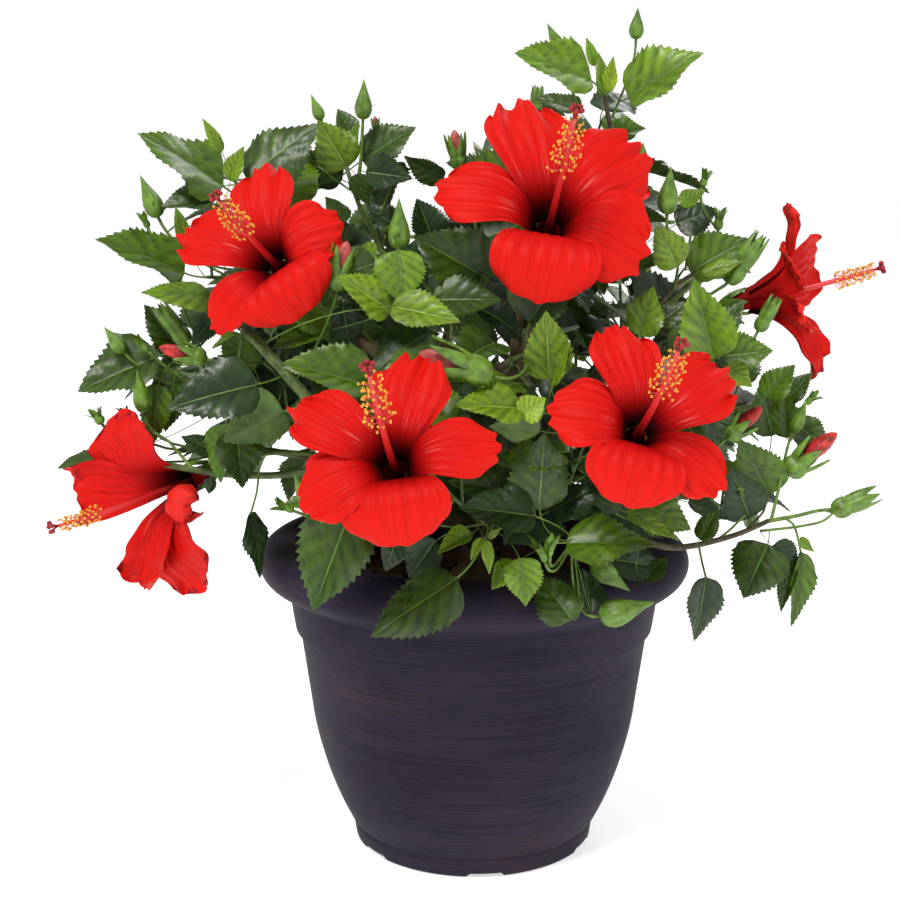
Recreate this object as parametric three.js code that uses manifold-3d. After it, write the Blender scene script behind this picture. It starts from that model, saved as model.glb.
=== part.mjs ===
// A potted hibiscus shrub with large red blooms, in millimetres, +Z up.
// The origin is the centre of the pot's flat underside, and -Y is the plant's front.
// A short trunk stands on the potting mix and carries boughs. Each bough's line runs on, past its cut tip,
// as the stem of one mass of foliage. Every bloom is a node of its own, fused to its stalk.

import * as THREE from "three";
import { mergeVertices } from "three/addons/utils/BufferGeometryUtils.js";
import Module from "manifold-3d";

const wasm = await Module();
wasm.setup();

// Driving dimensions
const GAP = 0.3;
const GOLDEN = THREE.MathUtils.degToRad(137.508);
const UP = new THREE.Vector3(0, 0, 1);

const POT = {
  sides: 28,
  height: 198,
  rimRadius: 135.5,
  opening: 107,
  rimCentreRadius: 117.5,
  rimCentreHeight: 183,
  footRadius: 76.5,
  floor: 7,
  wall: 3.4,
  slots: 6,
  slotWidth: 19,
  slotHeight: 2.6,
  slotTurn: 5,
};

const SOIL = { top: 168, edge: 163, crownRadius: 30 };

const TRUNK = { height: 44, flare: 15, waist: 10.5, fork: 8.5, lean: [5, -4], flareHeight: 12, sides: 8 };

// Nothing grows past this ellipsoid, given by its centre and its half sizes.
const REACH = { centre: [-1, 0, 300], half: [262, 242, 238] };

// The radii along a limb, and the share of its line that is its bough. The rest is its foliage's stem.
const BOUGH = { root: 4.8, sideRoot: 3.8, tip: 2.6, end: 1.1, sides: 5, steps: 4, split: 0.5 };
const TWIG = { root: 1.2, end: 0.8, length: 84, spread: 50, lift: 0.3 };
const LEAF = {
  length: 72,
  width: 0.34,
  stalkLength: 23,
  stalk: 0.6,
  internode: 14,
  thick: 1.5,
  fold: 0.3,
  curl: 0.2,
};
const BUD = { length: 27, radius: 6, stalkLength: 30, stalk: 0.8 };

// The room that each part of the plant keeps round itself, how a leaf finds a place of its own, and the
// most volume that its joint may share with its mass.
const ROOM = {
  leaf: 4.8,
  petal: 4.4,
  wood: 2.2,
  twig: 2.6,
  bloomStalk: 2.5,
  column: 3,
  anthers: 6.4,
  apart: 0.8,
  floor: 4,
  blade: 8,
  tries: 8,
  neighbour: 1.35,
  joint: 2,
};

// Each limb: what carries it and where along that, where its foliage ends, how much it arches up,
// how much its leaves droop where that isn't 1, how many side twigs its foliage has, and its seed.
const LIMBS = {
  front_left: { from: "trunk", at: 0.42, lead: [-82, -146, 232], arch: 0.4, droop: 1.4, twigs: 3, seed: 29 },
  front_right: { from: "trunk", at: 0.48, lead: [70, -156, 226], arch: 0.4, droop: 1.4, twigs: 3, seed: 195 },
  front_mid: {
    from: "front_right",
    at: 0.5,
    lead: [2, -165, 238],
    arch: 0.4,
    droop: 1.4,
    twigs: 3,
    seed: 199,
  },
  left_mid: { from: "trunk", at: 0.6, lead: [-208, -20, 318], arch: 0.1, twigs: 4, seed: 117 },
  left_low: { from: "left_mid", at: 0.5, lead: [-168, -4, 262], arch: 0.1, droop: 1.6, twigs: 3, seed: 123 },
  right_low: { from: "trunk", at: 0.66, lead: [216, -40, 232], arch: 0.3, droop: 2, twigs: 3, seed: 87 },
  top: { from: "trunk", at: 0.97, lead: [84, 10, 468], arch: 0.5, twigs: 3, seed: 69 },
  centre: { from: "top", at: 0.3, lead: [-32, -104, 384], arch: 0.25, twigs: 4, seed: 105 },
  centre_right: { from: "centre", at: 0.5, lead: [36, -128, 336], arch: 0.2, twigs: 3, seed: 143 },
  upper_left: { from: "trunk", at: 0.92, lead: [-156, 20, 428], arch: 0.25, twigs: 3, seed: 195 },
  left_high: { from: "upper_left", at: 0.85, lead: [-192, -24, 388], arch: 0.1, twigs: 3, seed: 73 },
  upper_mid: { from: "upper_left", at: 0.55, lead: [-76, 30, 440], arch: 0.5, twigs: 3, seed: 85 },
  right_high: { from: "trunk", at: 0.84, lead: [164, 6, 392], arch: 0.2, twigs: 4, seed: 167 },
  right_mid: { from: "right_high", at: 0.35, lead: [204, -10, 290], arch: 0.2, twigs: 4, seed: 75 },
  mid_right: { from: "right_high", at: 0.6, lead: [132, -88, 352], arch: 0.2, twigs: 4, seed: 135 },
  back_right: { from: "trunk", at: 0.56, lead: [124, 158, 332], arch: 0.2, twigs: 4, seed: 143 },
  back_left: { from: "trunk", at: 0.74, lead: [-116, 154, 352], arch: 0.2, twigs: 4, seed: 59 },
  back_top: { from: "top", at: 0.55, lead: [40, 92, 430], arch: 0.4, twigs: 4, seed: 133 },
  back_mid: { from: "back_left", at: 0.6, lead: [14, 160, 400], arch: 0.3, twigs: 4, seed: 135 },
  back_low: { from: "back_right", at: 0.4, lead: [8, 190, 262], arch: 0.3, droop: 1.4, twigs: 4, seed: 75 },
  back_low_left: { from: "back_left", at: 0.4, lead: [-172, 94, 262], arch: 0.2, twigs: 4, seed: 65 },
  back_low_right: { from: "back_right", at: 0.6, lead: [184, 100, 268], arch: 0.2, twigs: 4, seed: 57 },
};

// How much the petals of an open bloom cup forward, and its column's reach in petal radii.
const OPEN_BLOOM = { cup: 0, column: 1.22 };

// Each bloom: the limb that carries its stalk and where, the throat's centre, the way it faces (its turn from
// the front, and its rise), its radius, the first petal's roll, and how far its column bends up.
const BLOOMS = {
  bloom_top: {
    ...OPEN_BLOOM, from: "top", at: 0.9, throat: [36, -104, 402],
    turn: 4, rise: 30, radius: 64, roll: 20, bend: 24,
  },
  bloom_left: {
    ...OPEN_BLOOM, from: "upper_left", at: 0.95, throat: [-116, -86, 382],
    turn: -16, rise: 24, radius: 49, roll: 42, bend: 20,
  },
  bloom_front: {
    ...OPEN_BLOOM, from: "centre_right", at: 0.4, throat: [-46, -192, 287],
    turn: -6, rise: 28, radius: 54, roll: 16, bend: 22,
  },
  bloom_right: {
    ...OPEN_BLOOM, from: "mid_right", at: 0.8, throat: [84, -168, 300],
    turn: 8, rise: 28, radius: 51, roll: 22, bend: 22,
  },
  bloom_far_left: {
    from: "left_low", at: 0.7, throat: [-192, -54, 234],
    turn: -50, rise: -14, radius: 61, roll: 10, bend: -8, cup: 0.3, column: 1.5,
  },
  bloom_far_right: {
    ...OPEN_BLOOM, from: "right_mid", at: 0.8, throat: [194, -8, 350],
    turn: 74, rise: 12, radius: 54, roll: 84, bend: 6,
  },
  bloom_back_high: {
    ...OPEN_BLOOM, from: "back_top", at: 0.7, throat: [62, 138, 398],
    turn: 172, rise: 26, radius: 56, roll: 30, bend: 22,
  },
  bloom_back_low: {
    ...OPEN_BLOOM, from: "back_low_left", at: 0.9, throat: [-92, 190, 296],
    turn: 196, rise: 20, radius: 54, roll: 10, bend: 22,
  },
};

// The staminal column starts deep in the throat. Its radius at points along it swells to the brush of
// stamens and again to the stigma at its tip.
const COLUMN = { depth: 0.4, swell: [[0, 3], [0.5, 2.2], [0.58, 5.4], [0.82, 5.4], [0.9, 1.7], [1, 3.4]] };
const PETALS = 5;

const FINISH = {
  pot: { color: 0x2e2a3a, roughness: 0.55, metalness: 0 },
  soil: { color: 0x2b1d14, roughness: 0.95, metalness: 0 },
  bark: { color: 0x5c4a34, roughness: 0.85, metalness: 0 },
  foliage: { color: 0x3f6b1c, roughness: 0.45, metalness: 0 },
  bloom: { color: 0xe0231a, roughness: 0.5, metalness: 0 },
};

// Small helpers

const vec = (x, y, z) => new THREE.Vector3(x, y, z);
const mix = (a, b, t) => a + (b - a) * t;
const along = (p, direction, length) => p.clone().addScaledVector(direction, length);

function seededRandom(seed) {
  let state = seed >>> 0;
  return () => {
    state = (Math.imul(state, 1664525) + 1013904223) >>> 0;
    return state / 4294967296;
  };
}

// Two directions square to a line, for walking round it.
function across(direction) {
  const reference = Math.abs(direction.z) < 0.9 ? UP : vec(1, 0, 0);
  const side = direction.clone().cross(reference).normalize();
  return [side, side.clone().cross(direction).normalize()];
}

function around(direction, angle) {
  const [side, top] = across(direction);
  return side.multiplyScalar(Math.cos(angle)).addScaledVector(top, Math.sin(angle));
}

// Solids

function solid(points, faces) {
  const position = new Float32Array(points.flatMap((p) => [p.x, p.y, p.z]));
  return new wasm.Manifold(
    new wasm.Mesh({ numProp: 3, vertProperties: position, triVerts: new Uint32Array(faces.flat()) }),
  );
}

function solidOf(geometry) {
  const bare = geometry.clone();
  bare.deleteAttribute("normal");
  bare.deleteAttribute("uv");
  const merged = mergeVertices(bare, 1e-3);
  return new wasm.Manifold(
    new wasm.Mesh({
      numProp: 3,
      vertProperties: merged.attributes.position.array,
      triVerts: new Uint32Array(merged.index.array),
    }),
  );
}

function geometryOf(shape) {
  const { vertProperties, triVerts, numProp } = shape.getMesh();
  const position = new Float32Array((vertProperties.length / numProp) * 3);
  for (let i = 0; i < position.length / 3; i++) {
    position.set(vertProperties.subarray(i * numProp, i * numProp + 3), i * 3);
  }
  return new THREE.BufferGeometry()
    .setAttribute("position", new THREE.BufferAttribute(position, 3))
    .setIndex(new THREE.BufferAttribute(new Uint32Array(triVerts), 1));
}

// Whether a solid is still one closed body once its close points are welded:
// each edge then has exactly two faces.
function isSound(shape) {
  const welded = solidOf(geometryOf(shape));
  const { vertProperties, triVerts, numProp } = welded.getMesh();
  const place = (i) =>
    vertProperties
      .slice(i * numProp, i * numProp + 3)
      .map((x) => Math.round(x * 1e4))
      .join();
  const faces = new Map();
  for (let i = 0; i < triVerts.length; i += 3) {
    const corners = [...triVerts.slice(i, i + 3)].map(place);
    for (let k = 0; k < 3; k++) {
      const edge = [corners[k], corners[(k + 1) % 3]].sort().join(" ");
      faces.set(edge, (faces.get(edge) || 0) + 1);
    }
  }
  return welded.decompose().length === 1 && [...faces.values()].every((count) => count === 2);
}

function largest(whole) {
  const bodies = whole.decompose();
  return bodies.reduce((best, body) => (body.volume() > best.volume() ? body : best));
}

// A closed tube through points, with a radius at each. Each ring starts from the side that the ring before
// it started from, so that the tube doesn't twist.
function tube(points, radii, sides) {
  let side;
  const rings = points.map((p, i) => {
    const ahead = points[Math.min(i + 1, points.length - 1)];
    const behind = points[Math.max(i - 1, 0)];
    const direction = ahead.clone().sub(behind).normalize();
    side = side ? side.addScaledVector(direction, -side.dot(direction)).normalize() : across(direction)[0];
    const top = side.clone().cross(direction);
    return Array.from({ length: sides }, (_, k) => {
      const angle = (k / sides) * 2 * Math.PI;
      return along(along(p, side, radii[i] * Math.cos(angle)), top, radii[i] * Math.sin(angle));
    });
  });
  const faces = [];
  for (let i = 0; i + 1 < points.length; i++) {
    for (let k = 0; k < sides; k++) {
      const next = (k + 1) % sides;
      const [a, b] = [i * sides + k, i * sides + next];
      faces.push([a, a + sides, b], [b, a + sides, b + sides]);
    }
  }
  const last = (points.length - 1) * sides;
  for (let k = 1; k + 1 < sides; k++) {
    faces.push([0, k, k + 1], [last, last + k + 1, last + k]);
  }
  return solid(rings.flat(), faces);
}

// A turned solid from a profile of [radius, height] points that starts and ends on the axis.
function turned(profile, sides) {
  const outline = profile.map(([radius, height]) => new THREE.Vector2(radius, height));
  const lathe = new THREE.LatheGeometry(outline, sides);
  lathe.rotateX(Math.PI / 2);
  return solidOf(lathe);
}

// Pot and potting mix

const rimPoint = (degrees, spreadRadius, spreadHeight) => {
  const angle = THREE.MathUtils.degToRad(degrees);
  return [
    POT.rimCentreRadius + spreadRadius * Math.cos(angle),
    POT.rimCentreHeight + spreadHeight * Math.sin(angle),
  ];
};

function bellRadius(height) {
  const knots = [[13, 78.5], [30, 87], [50, 94.4], [75, 101.1], [100, 104.9], [138, 110.2]];
  const above = Math.max(1, knots.findIndex((knot) => knot[0] >= height));
  const [a, b] = [knots[above - 1], knots[above]];
  return mix(a[1], b[1], (height - a[0]) / (b[0] - a[0]));
}

const BELL_HEIGHTS = [30, 50, 75, 100, 138];

function potProfile() {
  const rimWidth = POT.rimRadius - POT.rimCentreRadius;
  const rimHeight = POT.height - POT.rimCentreHeight;
  const foot = [[0, 0], [POT.footRadius - 2, 0], [POT.footRadius, 4], [78.5, 13]];
  const bell = BELL_HEIGHTS.map((height) => [bellRadius(height), height]);
  const collar = [[113.4, 142], [117, 166]];
  const roll = [-60, -20, 20, 58, 100, 165].map((turn) =>
    rimPoint(turn, turn > 90 ? 9 : rimWidth, rimHeight),
  );
  return [...foot, ...bell, ...collar, ...roll, ...innerWall(0), [0, POT.floor]];
}

// The inside of the pot from the rim down to the floor, moved in by a clearance.
function innerWall(clearance) {
  const inside = [[110.5, 168]];
  const bell = [138, 75, 30].map((height) => [bellRadius(height) - POT.wall, height]);
  const floor = [[POT.footRadius - 3.5, POT.floor]];
  return [...inside, ...bell, ...floor].map(([radius, height]) => [radius - clearance, height]);
}

function makePot() {
  let pot = turned(potProfile(), POT.sides);
  for (let i = 0; i < POT.slots; i++) {
    const slot = new THREE.BoxGeometry(POT.slotWidth, 16, 2 * POT.slotHeight);
    slot.translate(0, -POT.footRadius, 0);
    slot.rotateZ(THREE.MathUtils.degToRad(POT.slotTurn + (i * 360) / POT.slots));
    pot = pot.subtract(solidOf(slot));
  }
  return pot;
}

function makeSoil() {
  const wall = innerWall(GAP).filter(([, height]) => height < SOIL.edge);
  const floor = wall[wall.length - 1];
  wall[wall.length - 1] = [floor[0], POT.floor + GAP];
  const edge = [wall[0][0] + 1.5, SOIL.edge];
  return turned(
    [[0, POT.floor + GAP], ...wall.reverse(), edge, [SOIL.crownRadius, SOIL.top], [0, SOIL.top]],
    POT.sides,
  );
}

// Trunk and boughs

const trunkFoot = SOIL.top + GAP;
const trunkLine = {
  point: (t) => vec(TRUNK.lean[0] * t, TRUNK.lean[1] * t, trunkFoot + TRUNK.height * t),
  tangent: () => vec(TRUNK.lean[0], TRUNK.lean[1], TRUNK.height).normalize(),
  radius: (t) => {
    const flare = Math.max(0, 1 - (t * TRUNK.height) / TRUNK.flareHeight);
    return mix(TRUNK.waist, TRUNK.fork, t) + (TRUNK.flare - TRUNK.waist) * flare * flare;
  },
};

function makeTrunk(extra) {
  const steps = [0, 0.1, 0.25, 0.6, 1];
  const rings = steps.map((t) => {
    const centre = trunkLine.point(t);
    return Array.from({ length: TRUNK.sides }, (_, k) => {
      const angle = (k / TRUNK.sides) * 2 * Math.PI;
      const radius = trunkLine.radius(t) + extra;
      return vec(centre.x + radius * Math.cos(angle), centre.y + radius * Math.sin(angle), centre.z);
    });
  });
  const faces = [];
  const count = TRUNK.sides;
  for (let i = 0; i + 1 < steps.length; i++) {
    for (let k = 0; k < count; k++) {
      const [a, b] = [i * count + k, i * count + ((k + 1) % count)];
      faces.push([a, b, a + count], [b, b + count, a + count]);
    }
  }
  const last = (steps.length - 1) * count;
  for (let k = 1; k + 1 < count; k++) {
    faces.push([0, k + 1, k], [last, last + k, last + k + 1]);
  }
  return solid(rings.flat(), faces);
}

// The line of a limb, from the axis of what carries it (t 0) to the end of its foliage (t 1).
function limbLine(start, carrier, lead, arch, rootRadius) {
  const reach = lead.clone().sub(start);
  const length = reach.length();
  const straight = reach.clone().normalize();
  const leave = straight.clone().addScaledVector(carrier, 0.45).addScaledVector(UP, arch).normalize();
  const arrive = straight.clone().addScaledVector(UP, -0.6 * arch + 0.25).normalize();
  const curve = new THREE.CubicBezierCurve3(
    start,
    along(start, leave, length * 0.36),
    along(lead, arrive, -length * 0.36),
    lead,
  );
  return {
    length,
    point: (t) => curve.getPoint(t),
    tangent: (t) => curve.getTangent(t).normalize(),
    radius: (t) =>
      t < BOUGH.split
        ? mix(rootRadius, BOUGH.tip, t / BOUGH.split)
        : mix(BOUGH.tip, BOUGH.end, (t - BOUGH.split) / (1 - BOUGH.split)),
  };
}

const lines = { trunk: trunkLine };

for (const [name, limb] of Object.entries(LIMBS)) {
  const carrier = lines[limb.from];
  const t = limb.from === "trunk" ? limb.at : limb.at * BOUGH.split;
  const root = limb.from === "trunk" ? BOUGH.root : BOUGH.sideRoot;
  lines[name] = limbLine(carrier.point(t), carrier.tangent(t), vec(...limb.lead), limb.arch, root);
}

function boughSolid(name, extra) {
  if (name === "trunk") return makeTrunk(extra);
  const stations = Array.from({ length: BOUGH.steps + 1 }, (_, i) => (i / BOUGH.steps) * BOUGH.split);
  return tube(
    stations.map((t) => lines[name].point(t)),
    stations.map((t) => lines[name].radius(t) + extra),
    BOUGH.sides,
  );
}

// A solid cut to sit just clear of what carries it.
function seatOn(carried, carrier) {
  return carried.subtract(boughSolid(carrier, GAP + 0.1));
}

// The boughs in the order that they grow: each leaves room for those before it.
const boughs = {};

for (const [name, limb] of Object.entries(LIMBS)) {
  const alone = seatOn(boughSolid(name, 0), limb.from);
  boughs[name] = largest(Object.keys(boughs).reduce(seatOn, alone));
}

// What is already there, as balls that belong to a node. Nothing else may grow into them.
const taken = [];

function take(owner, balls) {
  for (const [point, radius] of balls) taken.push({ owner, point, radius });
}

function potStands(point, radius) {
  const out = Math.hypot(point.x, point.y);
  if (point.z - radius > POT.height) return false;
  if (point.z < SOIL.top + radius) return out < POT.rimRadius + radius || point.z < radius + ROOM.floor;
  return out > POT.opening - radius && out < POT.rimRadius + radius;
}

function isFree(owner, balls) {
  const [x, y, z] = REACH.centre;
  const [halfWidth, halfDepth, halfHeight] = REACH.half;
  return balls.every(
    ([point, radius]) =>
      Math.hypot((point.x - x) / halfWidth, (point.y - y) / halfDepth, (point.z - z) / halfHeight) < 1 &&
      !potStands(point, radius) &&
      taken.every(
        (other) =>
          other.owner === owner ||
          point.distanceTo(other.point) > radius + other.radius + ROOM.apart,
      ),
  );
}

function woodBalls(line, from, to, extra) {
  const count = Math.max(2, Math.ceil((line.length * (to - from)) / 7));
  return Array.from({ length: count + 1 }, (_, i) => {
    const t = mix(from, to, i / count);
    return [line.point(t), line.radius(t) + extra];
  });
}

for (const name of Object.keys(LIMBS)) {
  take("bough_" + name, woodBalls(lines[name], 0, BOUGH.split, ROOM.wood));
}

// Blooms

// A point of a petal: s runs from its root to its rim and v across it, from -1 to 1.
function petalPoint({ radius, cup }, s, v) {
  const width = 0.46 * radius * Math.sin(Math.PI * (0.02 + 0.82 * s ** 1.4)) ** 0.75;
  const out = radius * (0.1 + 0.9 * s - 0.16 * s ** 3 * v * v);
  const height = radius * (-0.45 * (1 - s) ** 3 + 0.1 * Math.sin(Math.PI * s) + (cup - 0.1) * s * s);
  return { out, side: v * width, height: height + 0.16 * v * width };
}

function bloomFrame(bloom) {
  const [turn, rise, roll] = [bloom.turn, bloom.rise, bloom.roll].map(THREE.MathUtils.degToRad);
  const axis = vec(Math.sin(turn) * Math.cos(rise), -Math.cos(turn) * Math.cos(rise), Math.sin(rise));
  const right = vec(Math.cos(turn), Math.sin(turn), 0);
  const top = right.clone().cross(axis).negate();
  const throat = vec(...bloom.throat);
  return {
    axis,
    top,
    throat,
    place: ({ out, side, height }, petal) => {
      const angle = roll + (petal * 2 * Math.PI) / PETALS;
      const [c, s] = [Math.cos(angle), Math.sin(angle)];
      return throat
        .clone()
        .addScaledVector(right, out * c - side * s)
        .addScaledVector(top, out * s + side * c)
        .addScaledVector(axis, height);
    },
  };
}

function petalSolid(bloom, frame, petal) {
  const stations = [0, 0.38, 0.76, 1];
  const lanes = [-1, 0, 1];
  const half = 1;
  const points = [];
  const upper = [];
  const lower = [];
  stations.forEach((s, i) => {
    lanes.forEach((v, k) => {
      const p = petalPoint(bloom, s, v);
      const inner = i > 0 && i < stations.length - 1 && k > 0 && k < lanes.length - 1;
      upper.push(points.length);
      points.push(frame.place({ ...p, height: p.height + (inner ? half : 0) }, petal));
      if (inner) {
        lower.push(points.length);
        points.push(frame.place({ ...p, height: p.height - half }, petal));
      } else {
        lower.push(upper[upper.length - 1]);
      }
    });
  });
  const faces = [];
  const wide = lanes.length;
  for (let i = 0; i + 1 < stations.length; i++) {
    for (let k = 0; k + 1 < wide; k++) {
      const [a, b] = [i * wide + k, (i + 1) * wide + k];
      faces.push([upper[a], upper[b], upper[b + 1]], [upper[a], upper[b + 1], upper[a + 1]]);
      faces.push([lower[a], lower[b + 1], lower[b]], [lower[a], lower[a + 1], lower[b + 1]]);
    }
  }
  return solid(points, faces);
}

// The line of the staminal column, which bends up out of the throat.
function columnPoint(bloom, frame, t) {
  const bend = THREE.MathUtils.degToRad(bloom.bend) * t;
  const length = bloom.radius * (bloom.column + COLUMN.depth) * t;
  const out = length * Math.cos(bend) - COLUMN.depth * bloom.radius;
  return along(frame.throat, frame.axis, out).addScaledVector(frame.top, length * Math.sin(bend));
}

function columnSolid(bloom, frame) {
  const line = COLUMN.swell.map(([t]) => columnPoint(bloom, frame, t));
  return tube(line, COLUMN.swell.map(([, radius]) => radius), 4);
}

function bloomStalk(name, bloom, frame) {
  const carrier = lines[bloom.from];
  const start = carrier.point(bloom.at * BOUGH.split);
  const base = along(frame.throat, frame.axis, -0.78 * bloom.radius);
  const reach = base.distanceTo(start);
  const leave = base.clone().sub(start).normalize().addScaledVector(UP, 0.35).normalize();
  const curve = new THREE.CubicBezierCurve3(
    start,
    along(start, leave, reach * 0.4),
    along(base, frame.axis, -reach * 0.34),
    base,
  );
  const line = {
    length: reach,
    point: (t) => curve.getPoint(t),
    radius: (t) => mix(1.9, 1.5, t),
  };
  lines[name] = line;
  return line;
}

function bloomSolid(name, bloom) {
  const frame = bloomFrame(bloom);
  const line = lines[name];
  const stations = [0, 0.3, 0.65, 1];
  const stalk = tube(stations.map(line.point), stations.map(line.radius), 3);
  const cup = [-0.82, -0.7, -0.34];
  const calyx = tube(
    cup.map((height) => along(frame.throat, frame.axis, height * bloom.radius)),
    [0.04, 0.13, 0.15].map((width) => width * bloom.radius),
    5,
  );
  const petals = Array.from({ length: PETALS }, (_, petal) => petalSolid(bloom, frame, petal));
  const whole = wasm.Manifold.union([...petals, calyx, stalk, columnSolid(bloom, frame)]);
  return largest(Object.keys(boughs).reduce(seatOn, whole));
}

for (const [name, bloom] of Object.entries(BLOOMS)) {
  const frame = bloomFrame(bloom);
  const line = bloomStalk(name, bloom, frame);
  take(name, woodBalls(line, 0.05, 1, ROOM.bloomStalk));
  for (let petal = 0; petal < PETALS; petal++) {
    for (const s of [0.1, 0.3, 0.5, 0.7, 0.88, 1]) {
      for (const v of [-0.95, -0.5, 0, 0.5, 0.95]) {
        take(name, [[frame.place(petalPoint(bloom, s, v), petal), ROOM.petal]]);
      }
    }
  }
  for (let i = 0; i <= 10; i++) {
    take(name, [[columnPoint(bloom, frame, i / 10), i > 4 ? ROOM.anthers : ROOM.column]]);
  }
  take(name, [[along(frame.throat, frame.axis, -0.6 * bloom.radius), 0.16 * bloom.radius]]);
}

// Leaves

// Half the width of a blade, as a share of its widest, at u along it from 0 to 1.
const bladeWidth = (u) => (u ** 0.55 * (1 - u) ** 0.9) / 0.382;

function leafPoint(leaf, u, v) {
  const half = leaf.length * LEAF.width * bladeWidth(u);
  return along(leaf.base, leaf.ahead, leaf.length * u)
    .addScaledVector(leaf.side, v * half)
    .addScaledVector(leaf.normal, LEAF.fold * Math.abs(v) * half - leaf.curl * leaf.length * u * u);
}

const MIDDLE = 0.42;

function stalkBalls({ root, base }) {
  return [0.35, 0.6, 0.85].map((t) => [root.clone().lerp(base, t), 2]);
}

// Points all over a blade, along its spine first.
function bladePoints(leaf) {
  const spine = [0.05, 0.22, 0.42, 0.64, 0.84, 0.98].map((u) => leafPoint(leaf, u, 0));
  const sides = [0.22, 0.42, 0.64].flatMap((u) => [leafPoint(leaf, u, -0.85), leafPoint(leaf, u, 0.85)]);
  const halves = [leafPoint(leaf, MIDDLE, -0.45), leafPoint(leaf, MIDDLE, 0.45)];
  return [...spine, ...sides, ...halves];
}

function leafBalls(leaf) {
  return [...bladePoints(leaf).map((point) => [point, ROOM.leaf]), ...stalkBalls(leaf)];
}

// A blade that is thickest at its crest and closes along its rim, and runs into its stalk. The stalk starts
// as an edge in the middle of its shoot and has three sides.
function leafSolid(leaf) {
  const stalk = leaf.base.clone().sub(leaf.root).normalize();
  const above = stalk.clone().cross(leaf.side).normalize();
  const end = [Math.PI * 0.2, Math.PI * 0.8, -Math.PI * 0.5].map((turn) =>
    along(leaf.base, leaf.side, LEAF.stalk * Math.cos(turn)).addScaledVector(
      above,
      LEAF.stalk * Math.sin(turn),
    ),
  );
  const root = [1, -1].map((v) => along(leaf.root, leaf.side, v * LEAF.stalk));
  const rim = [[0.38, 1.08], [1, 0], [0.38, -1.08]].map(([u, v]) => leafPoint(leaf, u, v));
  const crest = along(leafPoint(leaf, MIDDLE, 0), leaf.normal, LEAF.thick);
  // The stalk's root from left to right, its end (left, right, low), then the blade's left, tip and right.
  const points = [...root, ...end, ...rim, crest];
  const faces = [
    [0, 1, 2],
    [1, 3, 2],
    [1, 4, 3],
    [0, 2, 4],
    [0, 4, 1],
    [2, 3, 8],
    [2, 8, 5],
    [5, 8, 6],
    [6, 8, 7],
    [7, 8, 3],
    [4, 5, 6],
    [4, 6, 7],
    [2, 5, 4],
    [3, 4, 7],
  ];
  return solid(points, faces);
}

// A leaf grows from a point of a shoot: its stalk leans out, its blade turns level and its face to the light.
function growLeaf({ droop, random }, shoot, share, turn) {
  const start = shoot.point(share);
  const direction = shoot.tangent(share);
  const out = around(direction, turn);
  const outward = vec(start.x, start.y, 0).normalize();
  const size = LEAF.length * mix(1, 0.62, share) * mix(0.86, 1.12, random());
  const lean = direction.clone().multiplyScalar(0.5).addScaledVector(out, 0.85).addScaledVector(UP, 0.2);
  lean.normalize();
  const base = along(start, lean, LEAF.stalkLength * mix(1.1, 0.6, share) * mix(0.85, 1.2, random()));
  const ahead = lean
    .clone()
    .addScaledVector(outward, 0.35 + 0.3 * random())
    .addScaledVector(UP, droop * mix(-0.75, 0.05, share) * mix(0.6, 1.2, random()))
    .normalize();
  const light = UP.clone()
    .multiplyScalar(0.8)
    .addScaledVector(outward, 0.55)
    .addScaledVector(out, 0.5 * (random() - 0.5));
  const side = light.clone().cross(ahead).normalize();
  const normal = ahead.clone().cross(side).normalize();
  const curl = LEAF.curl * mix(0.4, 1.5, random());
  return { root: start, base, ahead, side, normal, length: size, curl };
}

// Buds

function budSolid(bud) {
  const body = [0.3, 1].map((t) => along(bud.base, bud.axis, t * bud.length));
  const radii = [BUD.stalk, BUD.stalk, 1.2 * bud.radius, 0.1 * bud.radius];
  return tube([bud.root, bud.base, ...body], radii, 3);
}

function growBud(start, direction, turn, random) {
  const rise = direction.clone().addScaledVector(around(direction, turn), 0.55).addScaledVector(UP, 0.5);
  rise.normalize();
  const size = mix(0.65, 1.1, random());
  const base = along(start, rise, BUD.stalkLength * mix(0.7, 1.15, random()));
  return { root: start, base, axis: rise, length: BUD.length * size, radius: BUD.radius * size };
}

function budBalls(bud) {
  const body = [0.1, 0.35, 0.65, 0.9].map((t) => [along(bud.base, bud.axis, t * bud.length), bud.radius]);
  return [...body, ...stalkBalls(bud)];
}

// Foliage

// The shoots of a mass: its stem and the side twigs on it.
function growShoots(mass, stem, twigs) {
  const shoots = [stem];
  const phase = mass.random() * 2 * Math.PI;
  for (let k = 0; k < twigs; k++) {
    const t = mix(0.08, 0.62, (k + 0.5) / twigs);
    const root = stem.point(t);
    const spread = THREE.MathUtils.degToRad(TWIG.spread * mix(0.8, 1.25, mass.random()));
    const tangent = stem.tangent(t);
    const leave = tangent
      .clone()
      .multiplyScalar(Math.cos(spread))
      .addScaledVector(around(tangent, phase + k * GOLDEN), Math.sin(spread))
      .addScaledVector(UP, TWIG.lift)
      .normalize();
    const length = TWIG.length * mix(0.7, 1.1, mass.random());
    const arrive = leave.clone().addScaledVector(UP, TWIG.lift).normalize();
    const bend = along(root, leave, length * 0.5);
    const twig = {
      point: (s) => (s < 0.5 ? root.clone().lerp(bend, s * 2) : along(bend, arrive, length * (s - 0.5))),
      tangent: (s) => (s < 0.5 ? leave : arrive),
      length,
      radius: (s) => mix(TWIG.root, TWIG.end, s),
      steps: 2,
    };
    if (!isFree(mass.owner, woodBalls(twig, 0.15, 1, ROOM.twig))) continue;
    take(mass.owner, woodBalls(twig, 0.15, 1, ROOM.twig));
    shoots.push(twig);
  }
  return shoots;
}

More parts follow.
